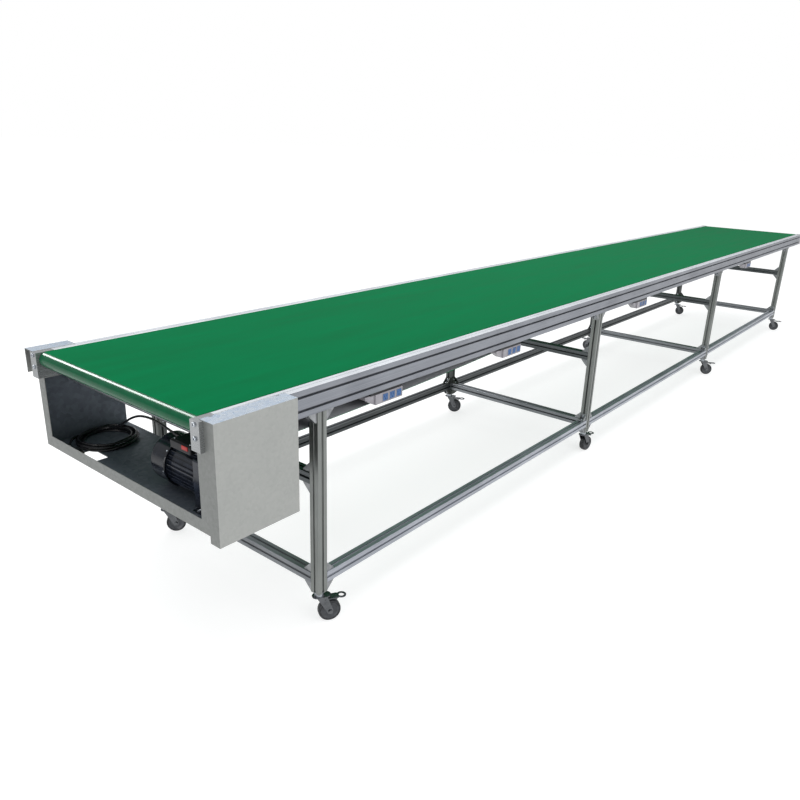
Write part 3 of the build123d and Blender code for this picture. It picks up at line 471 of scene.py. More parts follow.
# ---------------------------------------------------------------- mesh helpers
class Form:
    """A mesh being put together from turned and boxed shapes, each with its material number."""

    def __init__(self) -> None:
        """Starts with no faces."""
        self.mesh = bmesh.new()

    def take(self, shape: bmesh.types.BMesh, place: Matrix, number: int, smooth: bool) -> None:
        """Adds a finished shape to the mesh, and frees it.

        Args:
            shape: The shape about the local origin.
            place: Where it goes.
            number: Its material number.
            smooth: Whether its faces are shaded as one surface.
        """
        bmesh.ops.transform(shape, matrix=place, verts=shape.verts)
        for face in shape.faces:
            face.material_index = number
            face.smooth = smooth
        data = bpy.data.meshes.new("shape")
        shape.to_mesh(data)
        shape.free()
        self.mesh.from_mesh(data)
        bpy.data.meshes.remove(data)

    def lathe(self, profile: list[tuple[float, float]], place: Matrix, number: int = 0, sides: int = 32) -> None:
        """Turns a profile round the local Z axis.

        Args:
            profile: Radius and height in metres, from one end to the other.
            place: Where the turned shape goes.
            number: Its material number.
            sides: How many facets round.
        """
        shape = bmesh.new()
        rings = []
        for radius, height in profile:
            count = sides if radius > 1e-6 else 1
            turns = [2 * math.pi * i / sides for i in range(count)]
            rings.append([shape.verts.new((radius * math.cos(a), radius * math.sin(a), height)) for a in turns])
        for low, high in zip(rings, rings[1:]):
            for i in range(sides):
                j = (i + 1) % sides
                corners = [low[i % len(low)], low[j % len(low)], high[j % len(high)], high[i % len(high)]]
                kept = list(dict.fromkeys(corners))
                if len(kept) > 2:
                    shape.faces.new(kept)
        bmesh.ops.recalc_face_normals(shape, faces=shape.faces)
        self.take(shape, place, number, True)

    def block(self, size: tuple[float, float, float], place: Matrix, number: int = 0, bevel: float = 0.0) -> None:
        """A box about the local origin with rounded edges.

        Args:
            size: Its length, width and height in metres.
            place: Where it goes.
            number: Its material number.
            bevel: Edge radius in metres.
        """
        shape = bmesh.new()
        bmesh.ops.create_cube(shape, size=1.0)
        bmesh.ops.scale(shape, vec=size, verts=shape.verts)
        if bevel:
            bmesh.ops.bevel(shape, geom=list(shape.edges), offset=bevel, segments=2, affect="EDGES", profile=0.5)
        self.take(shape, place, number, False)

    def screw(self, point: Vector, way: Vector, radius: float, height: float, number: int = 0,
              sides: int = 20) -> None:
        """A domed screw head with a shallow socket.

        Args:
            point: Where its seat is, in metres.
            way: The way it looks.
            radius: Its radius in metres.
            height: Its height in metres.
            number: Its material number.
            sides: How many facets round.
        """
        profile = [(radius, 0.0), (radius, height * 0.45), (radius * 0.8, height * 0.85), (radius * 0.45, height),
                   (radius * 0.4, height * 0.6), (0.0, height * 0.6)]
        self.lathe(profile, facing(point, way), number, sides)

    def piece(self, name: str, materials: list[Material], slot: str, body: str = FRAME_BODY) -> Object:
        """Makes the object and lets it ride on its body.

        Args:
            name: The piece's name.
            materials: Its materials by number.
            slot: The record's material slot; not used.
            body: The CAD body that it moves with.

        Returns:
            The new object.
        """
        data = bpy.data.meshes.new(name)
        self.mesh.to_mesh(data)
        self.mesh.free()
        return settle(data, name, materials, body)


def settle(data: Mesh, name: str, materials: list[Material], body: str = FRAME_BODY) -> Object:
    """Makes an object of a mesh that is already in place, and lets it ride.

    Args:
        data: The mesh, in the row frame.
        name: The piece's name.
        materials: Its materials by number.
        body: The CAD body that it moves with.

    Returns:
        The new object.
    """
    if data.materials:
        data.materials.clear()
    for material in materials:
        data.materials.append(material)
    made = bpy.data.objects.new(name, data)
    bpy.context.scene.collection.objects.link(made)
    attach(made, body)
    return made


def facing(point: Vector, way: Vector) -> Matrix:
    """A place whose local Z looks a given way.

    Args:
        point: Where it is, in metres.
        way: The direction of its Z.

    Returns:
        The matrix.
    """
    return Matrix.Translation(point) @ way.to_track_quat("Z", "Y").to_matrix().to_4x4()


def split(node: str, name: str, materials: list[Material], choose: Chooser,
          body: str = FRAME_BODY) -> Object:
    """Stands for a CAD node with a copy whose faces take more than one material.

    Args:
        node: The CAD node.
        name: The new piece's name.
        materials: Its materials by number.
        choose: Gives a face's material number from its centre and normal.
        body: The CAD body that it moves with.

    Returns:
        The new object.
    """
    data = frame["nodes"][node].data.copy()
    numbers = [choose(p.center.copy(), p.normal.copy()) for p in data.polygons]
    made = settle(data, name, materials, body)
    made.data.polygons.foreach_set("material_index", numbers)
    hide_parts(node)
    return made


# ---------------------------------------------------------------- belt
@dataclass
class Belt:
    """The endless belt: green cover outside and on the cut edges, woven fabric inside."""

    palette: Palette
    probe: float = 0.4 * MM
    edge: float = 0.5
    bent: float = 0.3
    most_crossings: int = 8

    def build(self) -> None:
        """Splits the belt's faces into cover and fabric."""
        source = frame["nodes"]["conveyor_belt"].data
        tree = BVHTree.FromPolygons([v.co for v in source.vertices], [p.vertices[:] for p in source.polygons])

        def side(centre: Vector, normal: Vector) -> int:
            """0 for the flat cover and the cut edges, 1 for the fabric inside the loop, 2 for the cover on a bend,
            painted darker as shade.
            """
            if abs(normal.y) > self.edge:
                return 0
            start, crossings = centre + normal * self.probe, 0
            while crossings < self.most_crossings:
                hit = tree.ray_cast(start, normal)[0]
                if hit is None:
                    break
                crossings += 1
                start = hit + normal * self.probe * 0.1
            # The fabric looks across the loop at the other run, and the ray crosses both faces of that run.
            if crossings % 4 == 2:
                return 1
            return 2 if abs(normal.x) > self.bent else 0

        split("conveyor_belt", "belt_loop", self.palette.each(GREEN, FABRIC, GREEN_BEND_PAINTED_SHADE), side)
        LOG.info("belt: cover and fabric")


# ---------------------------------------------------------------- frame
@dataclass
class Framework:
    """Profiles, end blocks, corner brackets and their bolts."""

    palette: Palette
    half_height: float = 0.4
    outwards: float = 0.3

    def build(self) -> None:
        """Dresses the CAD nodes of the frame."""
        self.palette.dress(BLOCK, "bearing_blocks")
        self.palette.dress(BOLT, "frame_bolts", "caster_stems")
        self.palette.dress(MILL, "slider_bed", "bed_cross_ties")
        self.palette.dress(IRON, "drum_bearings")
        rail_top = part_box("near_side_rail")[1].z - MM

        def top(centre: Vector, normal: Vector) -> int:
            """1 for the top faces, which take the painted highlight."""
            return int(normal.z > FACING and centre.z > rail_top)

        def far(centre: Vector, normal: Vector) -> int:
            """1 for the faces of the far side that don't look outwards."""
            return int(centre.y > 0 and normal.y < self.outwards)

        def upper(centre: Vector, _: Vector) -> int:
            """1 for what lies close under the belt."""
            return int(centre.z > self.half_height)

        for node, name, slot, finishes, choose in (
            ("near_side_rail", "near_rail_profile", "anodised", (RAIL_SIDE, RAIL_TOP_PAINTED_HIGHLIGHT), top),
            ("far_side_rail", "far_rail_profile", "anodised", (RAIL_SIDE, RAIL_TOP_PAINTED_HIGHLIGHT), top),
            ("stretchers", "stretcher_profiles", "anodised", (STRETCHER, SHADED_ALONG), far),
            ("legs", "leg_profiles", "anodised", (POST, SHADED_UPRIGHT), far),
            ("crossbars", "crossbar_profiles", "anodised", (BAR, SHADED_ACROSS), upper),
            ("corner_brackets", "cast_corner_brackets", "cast_bracket", (CAST, CAST_SHADED), far),
        ):
            split(node, name, self.palette.each(*finishes), choose)
        LOG.info("frame: dressed")


# ---------------------------------------------------------------- drive housing
@dataclass
class DriveHousing:
    """Folded sheet box under the drive end, with the chain guard beside it and the bearing cover opposite."""

    palette: Palette
    skin: float = 4.0 * MM
    rivet_radius: float = 3.2 * MM
    rivet_height: float = 1.6 * MM
    rivet_low: float = 18.0 * MM
    rivet_high: float = 14.0 * MM
    rivet_shares: tuple[float, ...] = (0.1, 0.37, 0.63, 0.9)
    inwards: float = 0.5

    def build(self) -> None:
        """Dresses the sheets and adds the rivets that hold the folds."""
        low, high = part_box("drive_housing")
        materials = self.palette.each(GALVANISED, GALVANISED_TOP_PAINTED_REFLECTION, GALVANISED_FRONT_PAINTED_SHADE, GALVANISED_INSIDE_PAINTED_SHADE)

        def outside(_: Vector, normal: Vector) -> int:
            """1 for faces that look up, with the painted sky reflection; 2 for those towards the drive end, with
            painted shade; 0 for the rest.
            """
            return 1 if normal.z > FACING else 2 if normal.x < -FACING else 0

        def inside(centre: Vector, normal: Vector) -> int:
            """3 for faces that look into the box, 2 for those towards the drive end, both with painted shade; 0 for
            the rest.
            """
            margins = (centre.x - low.x, centre.y - low.y, high.y - centre.y, centre.z - low.z)
            looks = (normal.x, normal.y, -normal.y, normal.z)
            held = [i for i, look in enumerate(looks) if look > self.inwards]
            return 3 if held and all(margins[i] < self.skin for i in held) else 2 * (normal.x < -FACING)

        split("drive_housing", "housing_sheet", materials, inside)
        for node, name in (("chain_guard", "guard_sheet"), ("bearing_cover", "cover_sheet")):
            split(node, name, materials, outside)
        self.rivets(low, high)
        LOG.info("drive housing: sheets and rivets")

    def rivets(self, low: Vector, high: Vector) -> None:
        """Adds two rows of rivets along the housing's far wall, one near its floor and one near its top.

        Args:
            low: The housing's lower corner.
            high: Its upper corner.
        """
        form = Form()
        for share in self.rivet_shares:
            for z in (low.z + self.rivet_low, high.z - self.rivet_high):
                point = Vector((low.x + (high.x - low.x) * share, high.y, z))
                form.screw(point, Vector((0, 1, 0)), self.rivet_radius, self.rivet_height, sides=16)
        form.piece("housing_rivets", self.palette.each(BOLT), "bolt")


# ---------------------------------------------------------------- gearmotor
@dataclass
class GearMotor:
    """Black finned motor on its gearbox, with its terminal box, fan cowl and foot."""

    palette: Palette
    screw_radius: float = 3.6 * MM
    screw_height: float = 2.6 * MM
    screw_inset: float = 7.0 * MM
    screw_sink: float = 0.4 * MM
    screw_turns: tuple[int, ...] = (40, 140, 188, 320)
    # The rim rolled on the cowl's open end: out from the cowl, and along it.
    rim_mm: tuple[tuple[float, float], ...] = ((0.1, 0.0), (1.8, 1.0), (2.4, 3.0), (1.8, 5.0), (0.1, 6.0))
    lid_margin: float = 10.0 * MM
    lid_thickness: float = 3.0 * MM
    lid_lift: float = 1.2 * MM
    lid_screw_inset: float = 12.0 * MM
    lid_screw_lift: float = 2.7 * MM
    plate_size: tuple[float, float, float] = (3.0 * MM, 30.0 * MM, 13.0 * MM)
    plate_place: tuple[float, float, float] = (-1.0 * MM, -27.0 * MM, -7.5 * MM)
    plate_edge: float = 1.0 * MM
    foot_thickness: float = 5.0 * MM
    foot_reach: float = 16.0 * MM
    foot_margin: float = 20.0 * MM
    foot_edge: float = 1.2 * MM
    foot_bolt_inset: float = 30.0 * MM
    foot_bolt: tuple[float, float] = (5.5 * MM, 4.0 * MM)

    def build(self) -> None:
        """Dresses the CAD nodes and adds the small fittings."""
        self.palette.dress(ENAMEL, "gearbox", "motor_body")
        self.palette.dress(NYLON, "terminal_box", "cable_gland", "motor_fan")
        self.palette.dress(STOVED, "fan_cowl")
        self.palette.dress(CHAIN, "motor_sprocket")
        self.cowl_screws()
        self.terminal_lid()
        self.foot()
        LOG.info("gearmotor: dressed, with screws, lid and foot")

    def cowl_screws(self) -> None:
        """Bright screws round the cowl, and the rim rolled on its open end."""
        low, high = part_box("fan_cowl")
        centre, radius = (low + high) / 2, (high.x - low.x) / 2
        form = Form()
        for turn in self.screw_turns:
            way = Vector((math.cos(math.radians(turn)), 0, math.sin(math.radians(turn))))
            point = Vector((centre.x, low.y + self.screw_inset, centre.z)) + way * (radius - self.screw_sink)
            form.screw(point, way, self.screw_radius, self.screw_height)
        form.piece("cowl_screws", self.palette.each(BOLT), "bolt")
        rim = Form()
        lip = [(radius + out * MM, along * MM) for out, along in self.rim_mm]
        rim.lathe(lip, facing(Vector((centre.x, low.y, centre.z)), Vector((0, 1, 0))), 0, 64)
        rim.piece("cowl_rim", self.palette.each(STOVED), "motor_cover")

    def terminal_lid(self) -> None:
        """The terminal box's raised lid with a seam under it, four screws, and a red blanking plate on its side."""
        low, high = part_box("terminal_box")
        centre, size = (low + high) / 2, high - low
        form = Form()
        form.block((size.x - self.lid_margin, size.y - self.lid_margin, self.lid_thickness),
                   Matrix.Translation((centre.x, centre.y, high.z + self.lid_lift)), 0, self.plate_edge)
        for dx in (-1, 1):
            for dy in (-1, 1):
                point = Vector((centre.x + dx * (size.x / 2 - self.lid_screw_inset),
                                centre.y + dy * (size.y / 2 - self.lid_screw_inset), high.z + self.lid_screw_lift))
                form.screw(point, Vector((0, 0, 1)), self.screw_radius, self.screw_height, 1)
        x, y, z = self.plate_place
        form.block(self.plate_size, Matrix.Translation((low.x + x, centre.y + y, high.z + z)), 2, self.plate_edge)
        form.piece("terminal_lid", self.palette.each(NYLON, BOLT, RED), "black_plastic")

    def foot(self) -> None:
        """Foot plate under the gearbox with its hold-down bolts."""
        low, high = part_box("gearbox")
        form = Form()
        centre = (low + high) / 2
        form.block((high.x - low.x + 2 * self.foot_reach, high.y - low.y - self.foot_margin, self.foot_thickness),
                   Matrix.Translation((centre.x, centre.y, low.z + self.foot_thickness / 2)), 0, self.foot_edge)
        for x in (low.x - self.foot_reach / 2, high.x + self.foot_reach / 2):
            for y in (low.y + self.foot_bolt_inset, centre.y, high.y - self.foot_bolt_inset):
                form.screw(Vector((x, y, low.z + self.foot_thickness)), Vector((0, 0, 1)), *self.foot_bolt, 1)
        form.piece("gearbox_foot", self.palette.each(ENAMEL, BOLT), "gearbox")


# ---------------------------------------------------------------- chain
@dataclass
class RollerChain:
    """Roller chain round the drum's and the motor's sprockets, link by link."""

    palette: Palette
    pitch: float = 12.7 * MM
    teeth: tuple[int, int] = (20, 15)
    roller_radius: float = 3.4 * MM
    roller_half: float = 2.8 * MM
    pin_radius: float = 1.8 * MM
    plate_height: float = 7.36 * MM
    plate_thickness: float = 1.1 * MM
    plate_edge: float = 0.5 * MM
    half_width: float = 4.3 * MM
    arc_steps: int = 48

    def centres(self) -> tuple[Vector, Vector, float]:
        """Finds where the chain runs.

        Returns:
            The middles of the drum's and the motor's sprockets in XZ, and the chain's Y.
        """
        drum = next(j for j in frame["joints"] if j["child"] == "drum")["pos_m"]
        motor = next(j for j in frame["joints"] if j["child"] == "gear_output")["pos_m"]
        low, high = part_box("drive_chain")
        return Vector((drum[0], drum[2])), Vector((motor[0], motor[2])), (low.y + high.y) / 2

    def line(self) -> list[Vector]:
        """Places the pins along the loop, evenly apart and one pitch or slightly more.

        Returns:
            The places in XZ.
        """
        drum, motor, _ = self.centres()
        big, small = (self.pitch / 2 / math.sin(math.pi / n) for n in self.teeth)
        gap = motor - drum
        heading, lean = math.atan2(gap.y, gap.x), math.asin((big - small) / gap.length)
        first, second = heading + math.pi / 2 - lean, heading - math.pi / 2 + lean
        points: list[Vector] = []
        for centre, radius, start, sweep in (
            (drum, big, first, math.pi + 2 * lean), (motor, small, second, math.pi - 2 * lean)
        ):
            for i in range(self.arc_steps + 1):
                turn = start + sweep * i / self.arc_steps
                points.append(centre + Vector((math.cos(turn), math.sin(turn))) * radius)
        points.append(points[0])
        lengths = [(b - a).length for a, b in zip(points, points[1:])]
        count = int(sum(lengths) / self.pitch / 2) * 2
        step, pins, run, done = sum(lengths) / count, [], 0, 0.0
        for i in range(count):
            while done + lengths[run] < i * step:
                done += lengths[run]
                run += 1
            share = (i * step - done) / lengths[run]
            pins.append(points[run].lerp(points[run + 1], share))
        return pins

    def build(self) -> None:
        """Makes rollers, pins and alternating plates."""
        pins, y = self.line(), self.centres()[2]
        half = [(0.0, self.half_width), (self.pin_radius, self.half_width), (self.pin_radius, self.roller_half),
                (self.roller_radius, self.roller_half)]
        profile = [(radius, -height) for radius, height in half] + half[::-1]
        form = Form()
        for i, pin in enumerate(pins):
            following = pins[(i + 1) % len(pins)]
            middle, along = (pin + following) / 2, following - pin
            turn = Matrix.Rotation(-math.atan2(along.y, along.x), 4, "Y")
            outer = self.half_width - self.plate_thickness * (0.5 if i % 2 else 1.6)
            for side in (-1, 1):
                place = Matrix.Translation((middle.x, y + side * outer, middle.y)) @ turn
                form.block((along.length + self.plate_height, self.plate_thickness, self.plate_height),
                           place, 0, self.plate_edge)
            form.lathe(profile, facing(Vector((pin.x, y, pin.y)), Vector((0, 1, 0))), 0, 12)
        made = form.piece("roller_chain", self.palette.each(CHAIN), "roller_steel")
        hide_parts("drive_chain")
        LOG.info("chain: %d links", len(pins))


# ---------------------------------------------------------------- rollers
@dataclass
class Rollers:
    """Drum, nose, tail, snub and return rollers."""

    palette: Palette

    def build(self) -> None:
        """Dresses the turned rollers."""
        self.palette.dress(ROLLER, "drive_drum", "nose_roller", "tail_roller", "snub_roller", "return_roller_1",
                           "return_roller_2")
        LOG.info("rollers: dressed")


# ---------------------------------------------------------------- sockets
@dataclass
class SocketStrips:
    """Power strips hung under the near rail: pale shell, black hanger, three blue inserts each."""

    palette: Palette
    frame_width: float = 29.0 * MM
    frame_height: float = 28.0 * MM
    frame_rim: float = 2.0 * MM
    frame_depth: float = 1.6 * MM
    frame_sink: float = 0.4 * MM
    least_gap: float = 6.0 * MM
    least_width: float = 15.0 * MM

    def build(self) -> None:
        """Dresses the strips and adds a raised rim round each insert."""
        self.palette.dress(SHELL, "socket_housings")
        self.palette.dress(BLUE, "socket_inserts")
        self.palette.dress(NYLON, "socket_hangers")
        form = Form()
        data = frame["nodes"]["socket_inserts"].data
        face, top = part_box("socket_inserts")
        middles = self.insert_middles([v.co.x for v in data.vertices])
        y, z = face.y + self.frame_sink, (face.z + top.z) / 2
        for x in middles:
            for side in (-1, 1):
                form.block((self.frame_width, self.frame_depth, self.frame_rim),
                           Matrix.Translation((x, y, z + side * self.frame_height / 2)), 0, self.frame_sink)
                form.block((self.frame_rim, self.frame_depth, self.frame_height),
                           Matrix.Translation((x + side * self.frame_width / 2, y, z)), 0, self.frame_sink)
        form.piece("socket_rims", self.palette.each(SHELL), "socket_body")
        LOG.info("sockets: %d inserts", len(middles))

    def insert_middles(self, across: list[float]) -> list[float]:
        """Finds the middle of each insert.

        Args:
            across: The X of all their vertices.

        Returns:
            The X of each middle.
        """
        spans: list[list[float]] = []
        for x in sorted(across):
            if spans and x - spans[-1][1] < self.least_gap:
                spans[-1][1] = x
            else:
                spans.append([x, x])
        return [(low + high) / 2 for low, high in spans if high - low > self.least_width]


# ---------------------------------------------------------------- power cord
@dataclass
class PowerCord:
    """The motor's lead: out of the gland, over to the coil, round it, and into its plug."""

    palette: Palette
    diameter: float = 8.0 * MM
    points_per_turn: int = 16
    first_turn: float = 66.0
    length: float = 4.406
    relief_length: float = 34.0 * MM
    relief_radius: float = 7.2 * MM
    relief_ribs: int = 7
    entry_rise: float = 14.0
    entry_step: float = 5.0
    wobble: float = 1.6
    plug_size: tuple[float, float, float] = (26.0, 38.0, 24.0)
    pin_size: tuple[float, float, float] = (2.0, 18.0, 6.0)
    pins_mm: tuple[tuple[float, float], ...] = ((-6, 4), (6, 4), (0, -6))

    # The route's points from the gland to the coil, counted from the exit.
    lead_mm: tuple[tuple[float, float, float], ...] = (
        (0, 0, 0), (1, 51, 5), (5, 105, 10), (11, 160, 10), (18, 215, 3), (27, 269, -11), (38, 321, -31),
        (50, 372, -55), (62, 422, -81), (74, 472, -108), (86, 521, -133), (90, 565, -153),
    )
    # Layers of the coil: turns, radius at start and end, height of the line above the floor, and how far and
    # which way the layer lies off the coil's middle.
    layers: tuple[tuple[float, float, float, float, float, float], ...] = (
        (2.6, 80.0, 106.0, 4.6, 0.0, 0.0),
        (2.0, 110.0, 92.0, 13.2, 4.0, 60.0),
        (1.56, 84.0, 104.0, 21.6, 7.0, 200.0),
    )
    # From the last turn to the plug, counted from the coil's middle and its underside.
    tail_mm: tuple[tuple[float, float, float], ...] = (
        (-92, 64, 20.5), (-113, 44, 17), (-127, 21, 14), (-132.5, 2, 13), (-133, -14, 13),
    )

    def coil_points(self, middle: Vector) -> list[Vector]:
        """Points of the coil's turns, layer on layer.

        Args:
            middle: The coil's middle on the housing floor, in millimetres.

        Returns:
            The points in order.
        """
        points: list[Vector] = []
        turn = math.radians(self.first_turn)
        entry = self.entry_rise
        for turns, first, last, height, off, way in self.layers:
            count = int(turns * self.points_per_turn)
            for i in range(count):
                share = i / count
                radius = first + (last - first) * share + self.wobble * math.sin(2 * turn + height)
                drift = off * math.sin(math.pi * min(1.0, share * 2))
                rise = height + entry
                entry = max(0.0, entry - self.entry_step)
                points.append(middle + Vector((radius * math.cos(turn) + drift * math.cos(math.radians(way)),
                                               radius * math.sin(turn) + drift * math.sin(math.radians(way)), rise)))
                turn += 2 * math.pi / self.points_per_turn
        return points

    def build(self) -> None:
        """Makes the cord, its strain reliefs and the plug."""
        low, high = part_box("cable_gland")
        start = Vector(((low.x + high.x) / 2, high.y, (low.z + high.z) / 2)) / MM
        low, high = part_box("cord_coil")
        middle = Vector(((low.x + high.x) / 2, (low.y + high.y) / 2, low.z)) / MM
        points = [start + Vector(p) for p in self.lead_mm] + self.coil_points(middle)
        points += [middle + Vector(p) for p in self.tail_mm]
        curve = bpy.data.curves.new("power_lead", "CURVE")
        curve.dimensions = "3D"
        curve.bevel_depth = self.diameter / 2
        curve.bevel_resolution = 4
        curve.resolution_u = 8
        curve.use_fill_caps = True
        spline = curve.splines.new("NURBS")
        spline.points.add(len(points) - 1)
        for held, point in zip(spline.points, points):
            held.co = (*(point * MM), 1.0)
        spline.order_u = 3
        spline.use_endpoint_u = True
        curve.materials.append(self.palette.of(JACKET))
        lead = bpy.data.objects.new("power_lead", curve)
        bpy.context.scene.collection.objects.link(lead)
        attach(lead, FRAME_BODY)
        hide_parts("power_cord", "cord_coil")
        form = Form()
        self.relief(form, points[0] * MM, (points[1] - points[0]).normalized())
        relief = form.piece("gland_relief", self.palette.each(NYLON), "black_plastic")
        self.plug()
        LOG.info("cord: %d points", len(points))

    def relief(self, form: Form, point: Vector, way: Vector) -> None:
        """Adds a tapered ribbed sleeve round the cord.

        Args:
            form: The mesh that takes it.
            point: Where the sleeve starts, in metres.
            way: The direction of the cord there.
        """
        thick, thin, ribs = self.relief_radius, self.diameter / 2 + 0.3 * MM, self.relief_ribs
        profile = [(thin, -2 * MM), (thick, -2 * MM)]
        for i in range(ribs):
            radius = thick + (thin + 0.6 * MM - thick) * i / (ribs - 1)
            start, run = self.relief_length * i / ribs, self.relief_length / ribs
            profile += [(radius, start), (radius, start + run * 0.62), (radius - 0.8 * MM, start + run * 0.68),
                        (radius - 0.8 * MM, start + run * 0.95)]
        profile.append((thin, self.relief_length))
        form.lathe(profile, facing(point, way), 0, 28)

    def plug(self) -> Object:
        """The moulded plug: rounded body with finger ribs, ribbed sleeve and three plated pins.

        Returns:
            The plug.
        """
        low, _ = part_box("cord_plug")
        wide, long, tall = (size * MM for size in self.plug_size)
        pin = tuple(size * MM for size in self.pin_size)
        rear = low.y + pin[1] - 1 * MM + long
        centre = Vector((low.x + wide / 2, rear - long / 2, low.z + tall / 2))
        form = Form()
        form.block((wide, long, tall), Matrix.Translation(centre), 0, 6 * MM)
        for i in range(4):
            for side in (-1, 1):
                spot = centre + Vector((side * wide / 2, (5 - 4 * i) * MM, 0))
                form.block((1.2 * MM, 1.8 * MM, tall * 0.6), Matrix.Translation(spot), 0, 0.5 * MM)
        for x, z in self.pins_mm:
            spot = Vector((centre.x + x * MM, low.y + pin[1] / 2, centre.z + z * MM))
            form.block(pin, Matrix.Translation(spot), 1, 0.6 * MM)
        self.relief(form, Vector((centre.x, rear, centre.z)), Vector((0, 1, 0)))
        made = form.piece("mains_plug", self.palette.each(JACKET, PIN), "black_plastic")
        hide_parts("cord_plug")
        return made


# ---------------------------------------------------------------- casters
@dataclass
class Caster:
    """One swivel caster: pressed fork, brake pedal and a two-part wheel."""

    palette: Palette
    number: int
    radius: float = 40.0 * MM
    width: float = 28.0 * MM
    sides: int = 56

    def build(self) -> None:
        """Dresses the fork and pedal and makes the wheel."""
        self.palette.dress(PRESSED, f"caster_fork_{self.number}", f"caster_brake_{self.number}")
        joint = next(j for j in frame["joints"] if j["child"] == f"wheel_{self.number}")
        low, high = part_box(f"caster_wheel_{self.number}")
        place = facing((low + high) / 2, Vector(joint["axis"]))
        wheel = self.wheel(place)
        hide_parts(f"caster_wheel_{self.number}")

    def wheel(self, place: Matrix) -> Object:
        """The wheel: a crowned tread on a dished centre with a bearing cap.

        Args:
            place: The wheel's middle, with local Z along its axle.

        Returns:
            The wheel.
        """
        form, half, r = Form(), self.width / 2, self.radius
        edge = [(r - 9 * MM, half - 1 * MM), (r - 4 * MM, half), (r - 1.6 * MM, half - 1.6 * MM),
                (r - 0.3 * MM, half - 6 * MM)]
        form.lathe([(a, -b) for a, b in edge] + [(r, 0.0)] + edge[::-1], place, 0, self.sides)
        for side in (-1, 1):
            dish = [(r - 9 * MM, side * (half - 1 * MM)), (r - 11 * MM, side * (half - 1.5 * MM)),
                    (r - 13 * MM, side * (half - 5 * MM)), (15 * MM, side * (half - 6 * MM)),
                    (13 * MM, side * (half - 1.6 * MM)), (11 * MM, side * (half - 1 * MM))]
            form.lathe(dish, place, 1, self.sides)
            cap = [(11 * MM, side * (half - 1 * MM)), (10 * MM, side * (half - 0.6 * MM)),
                   (4.3 * MM, side * (half - 0.6 * MM)), (4.3 * MM, 0.0)]
            form.lathe(cap, place, 2, self.sides)
        materials = self.palette.each(TREAD, HUB, PRESSED)
        return form.piece(f"caster_tyre_{self.number}", materials, "wheel", f"wheel_{self.number}")


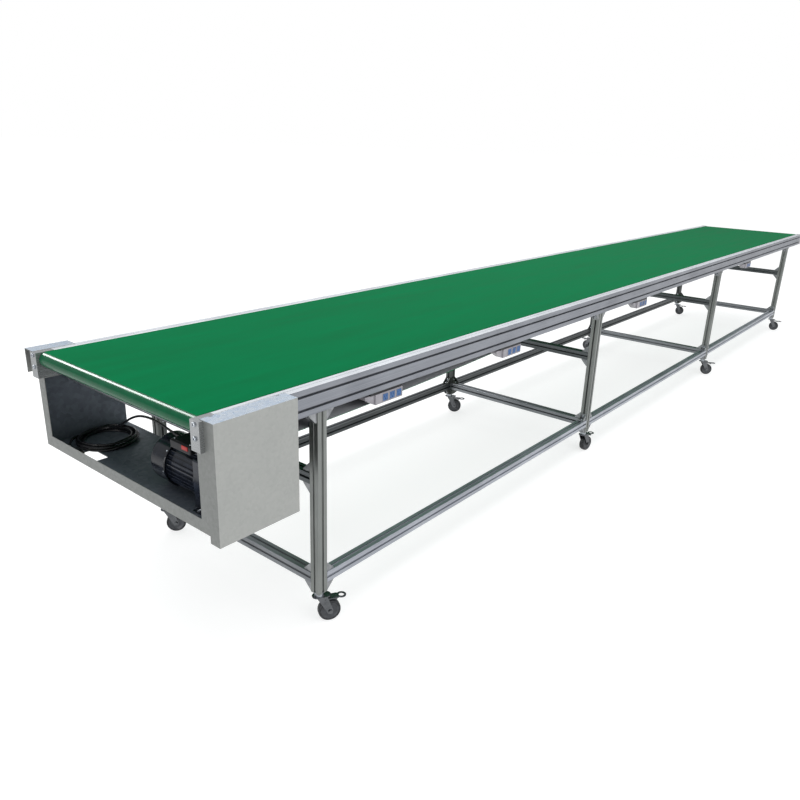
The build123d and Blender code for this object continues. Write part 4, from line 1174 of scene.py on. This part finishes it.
# ---------------------------------------------------------------- studio
@dataclass
class Studio:
    """Pale floor, soft light and the camera."""

    palette: Palette
    floor_size: float = 600.0
    camera_mm: tuple[float, float, float] = (-4503.453, -1958.756, 1563.316)
    pitch: float = -0.3422248
    yaw: float = 0.6794015
    roll: float = 0.0335918
    lens: float = 32.1227
    sensor: float = 36.0
    horizon: float = 0.3
    zenith: float = 0.9
    floor_glow: float = 0.72
    floor_bounce: float = 0.5

    def build(self) -> None:
        """Makes everything that isn't the object."""
        self.floor()
        self.lights()
        self.camera()
        LOG.info("studio: ready")

    def floor(self) -> None:
        """A wide plain floor in pale matt paint with a glow of its own, so that it stays pale everywhere."""
        data = bpy.data.meshes.new("studio_floor")
        half = self.floor_size / 2
        data.from_pydata([(-half, -half, 0), (half, -half, 0), (half, half, 0), (-half, half, 0)], [], [(0, 1, 2, 3)])
        made = bpy.data.objects.new("studio_floor", data)
        bpy.context.scene.collection.objects.link(made)
        material, tree, shader, _ = Finish("pale_floor", "#aaaaaa", roughness=0.9).start()
        shader.inputs["Specular IOR Level"].default_value = 0.0
        shader.inputs["Emission Color"].default_value = linear("#ffffff")
        # Its glow is weaker in what the object mirrors than in what is seen of it directly.
        seen = add(tree, "ShaderNodeLightPath").outputs["Is Camera Ray"]
        glow = add(tree, "ShaderNodeMapRange", {"To Min": self.floor_bounce, "To Max": self.floor_glow},
                   {"Value": seen})
        tree.links.new(glow.outputs["Result"], shader.inputs["Emission Strength"])
        data.materials.append(material)

    def lights(self) -> None:
        """A dim sky, three soft lamps, and a strip that lights gloss only and draws a line along the belt's nose."""
        world = bpy.data.worlds.new("overcast")
        bpy.context.scene.world = world
        bpy.context.scene.view_settings.view_transform = "Standard"
        world.use_nodes = True
        tree = world.node_tree
        tree.nodes.clear()
        # Brightest overhead and dim at the horizon, as under a lit ceiling. Seen directly, the backdrop is white.
        place = add(tree, "ShaderNodeTexCoord").outputs["Generated"]
        height = add(tree, "ShaderNodeSeparateXYZ", {}, {"Vector": place}).outputs["Z"]
        level = add(tree, "ShaderNodeMapRange", {"From Min": -0.1, "From Max": 0.9, "To Min": self.horizon,
                                                 "To Max": self.zenith}, {"Value": height})
        sky = add(tree, "ShaderNodeBackground", {"Color": (0.95, 0.975, 1.0, 1.0)},
                  {"Strength": level.outputs["Result"]})
        backdrop = add(tree, "ShaderNodeBackground", {"Color": (1.0, 1.0, 1.0, 1.0)})
        seen = add(tree, "ShaderNodeLightPath").outputs["Is Camera Ray"]
        both = add(tree, "ShaderNodeMixShader", {}, {0: seen, 1: sky.outputs[0], 2: backdrop.outputs[0]})
        add(tree, "ShaderNodeOutputWorld", {}, {"Surface": both.outputs[0]})
        for name, place, target, size, watts in (
            ("overhead", (-0.5, 0.8, 6.0), (-0.5, 0.0, 0.6), (9.0, 9.0), 340.0),
            ("near_fill", (-2.0, -7.0, 2.6), (-2.0, 0.0, 0.6), (5.0, 5.0), 130.0),
            ("end_fill", (-7.5, -0.6, 1.3), (-3.4, 0.1, 0.65), (1.4, 1.4), 75.0),
            (GLOSS_LAMP, (-3.9, 4.3, 3.5), (-3.9, 4.3, 0.0), (1.1, 3.6), 280.0),
        ):
            lamp = bpy.data.lights.new(name, "AREA")
            lamp.shape, lamp.energy = "RECTANGLE", watts
            lamp.size, lamp.size_y = size
            made = bpy.data.objects.new(name, lamp)
            made.location = place
            if name == GLOSS_LAMP:
                made.visible_diffuse = False
            else:
                made.rotation_euler = (Vector(target) - Vector(place)).to_track_quat("-Z", "Y").to_euler()
            bpy.context.scene.collection.objects.link(made)

    def camera(self) -> None:
        """The camera at the conveyor's drive end, a little above the belt."""
        forward = Vector((math.cos(self.pitch) * math.cos(self.yaw), math.cos(self.pitch) * math.sin(self.yaw),
                          math.sin(self.pitch)))
        right = forward.cross(Vector((0, 0, 1))).normalized()
        up = right.cross(forward)
        side = right * math.cos(self.roll) + up * math.sin(self.roll)
        top = up * math.cos(self.roll) - right * math.sin(self.roll)
        data = bpy.data.cameras.new("camera")
        data.sensor_width, data.lens = self.sensor, self.lens
        data.clip_start, data.clip_end = 0.05, 600.0
        made = bpy.data.objects.new("camera", data)
        turn = Matrix((side, top, -forward)).transposed().to_4x4()
        made.matrix_world = Matrix.Translation(Vector(self.camera_mm) * MM) @ turn
        bpy.context.scene.collection.objects.link(made)
        bpy.context.scene.camera = made


def corners(box: tuple[Vector, Vector]) -> list[list[float]]:
    """Writes a box as plain numbers.

    Args:
        box: Its two corners.

    Returns:
        The same corners as lists.
    """
    return [[float(c) for c in corner] for corner in box]


def main() -> None:
    """Builds each sub-assembly in turn and notes the sizes."""
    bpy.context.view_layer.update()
    palette = Palette()
    Studio(palette).build()
    PowerCord(palette).build()
    Belt(palette).build()
    Framework(palette).build()
    DriveHousing(palette).build()
    GearMotor(palette).build()
    RollerChain(palette).build()
    Rollers(palette).build()
    SocketStrips(palette).build()
    for number in range(1, CASTER_COUNT + 1):
        Caster(palette, number).build()
    LOG.info("casters: %d", CASTER_COUNT)


if __name__ == "__main__":
    logging.basicConfig(level=logging.INFO, format="%(name)s %(message)s")
    main()
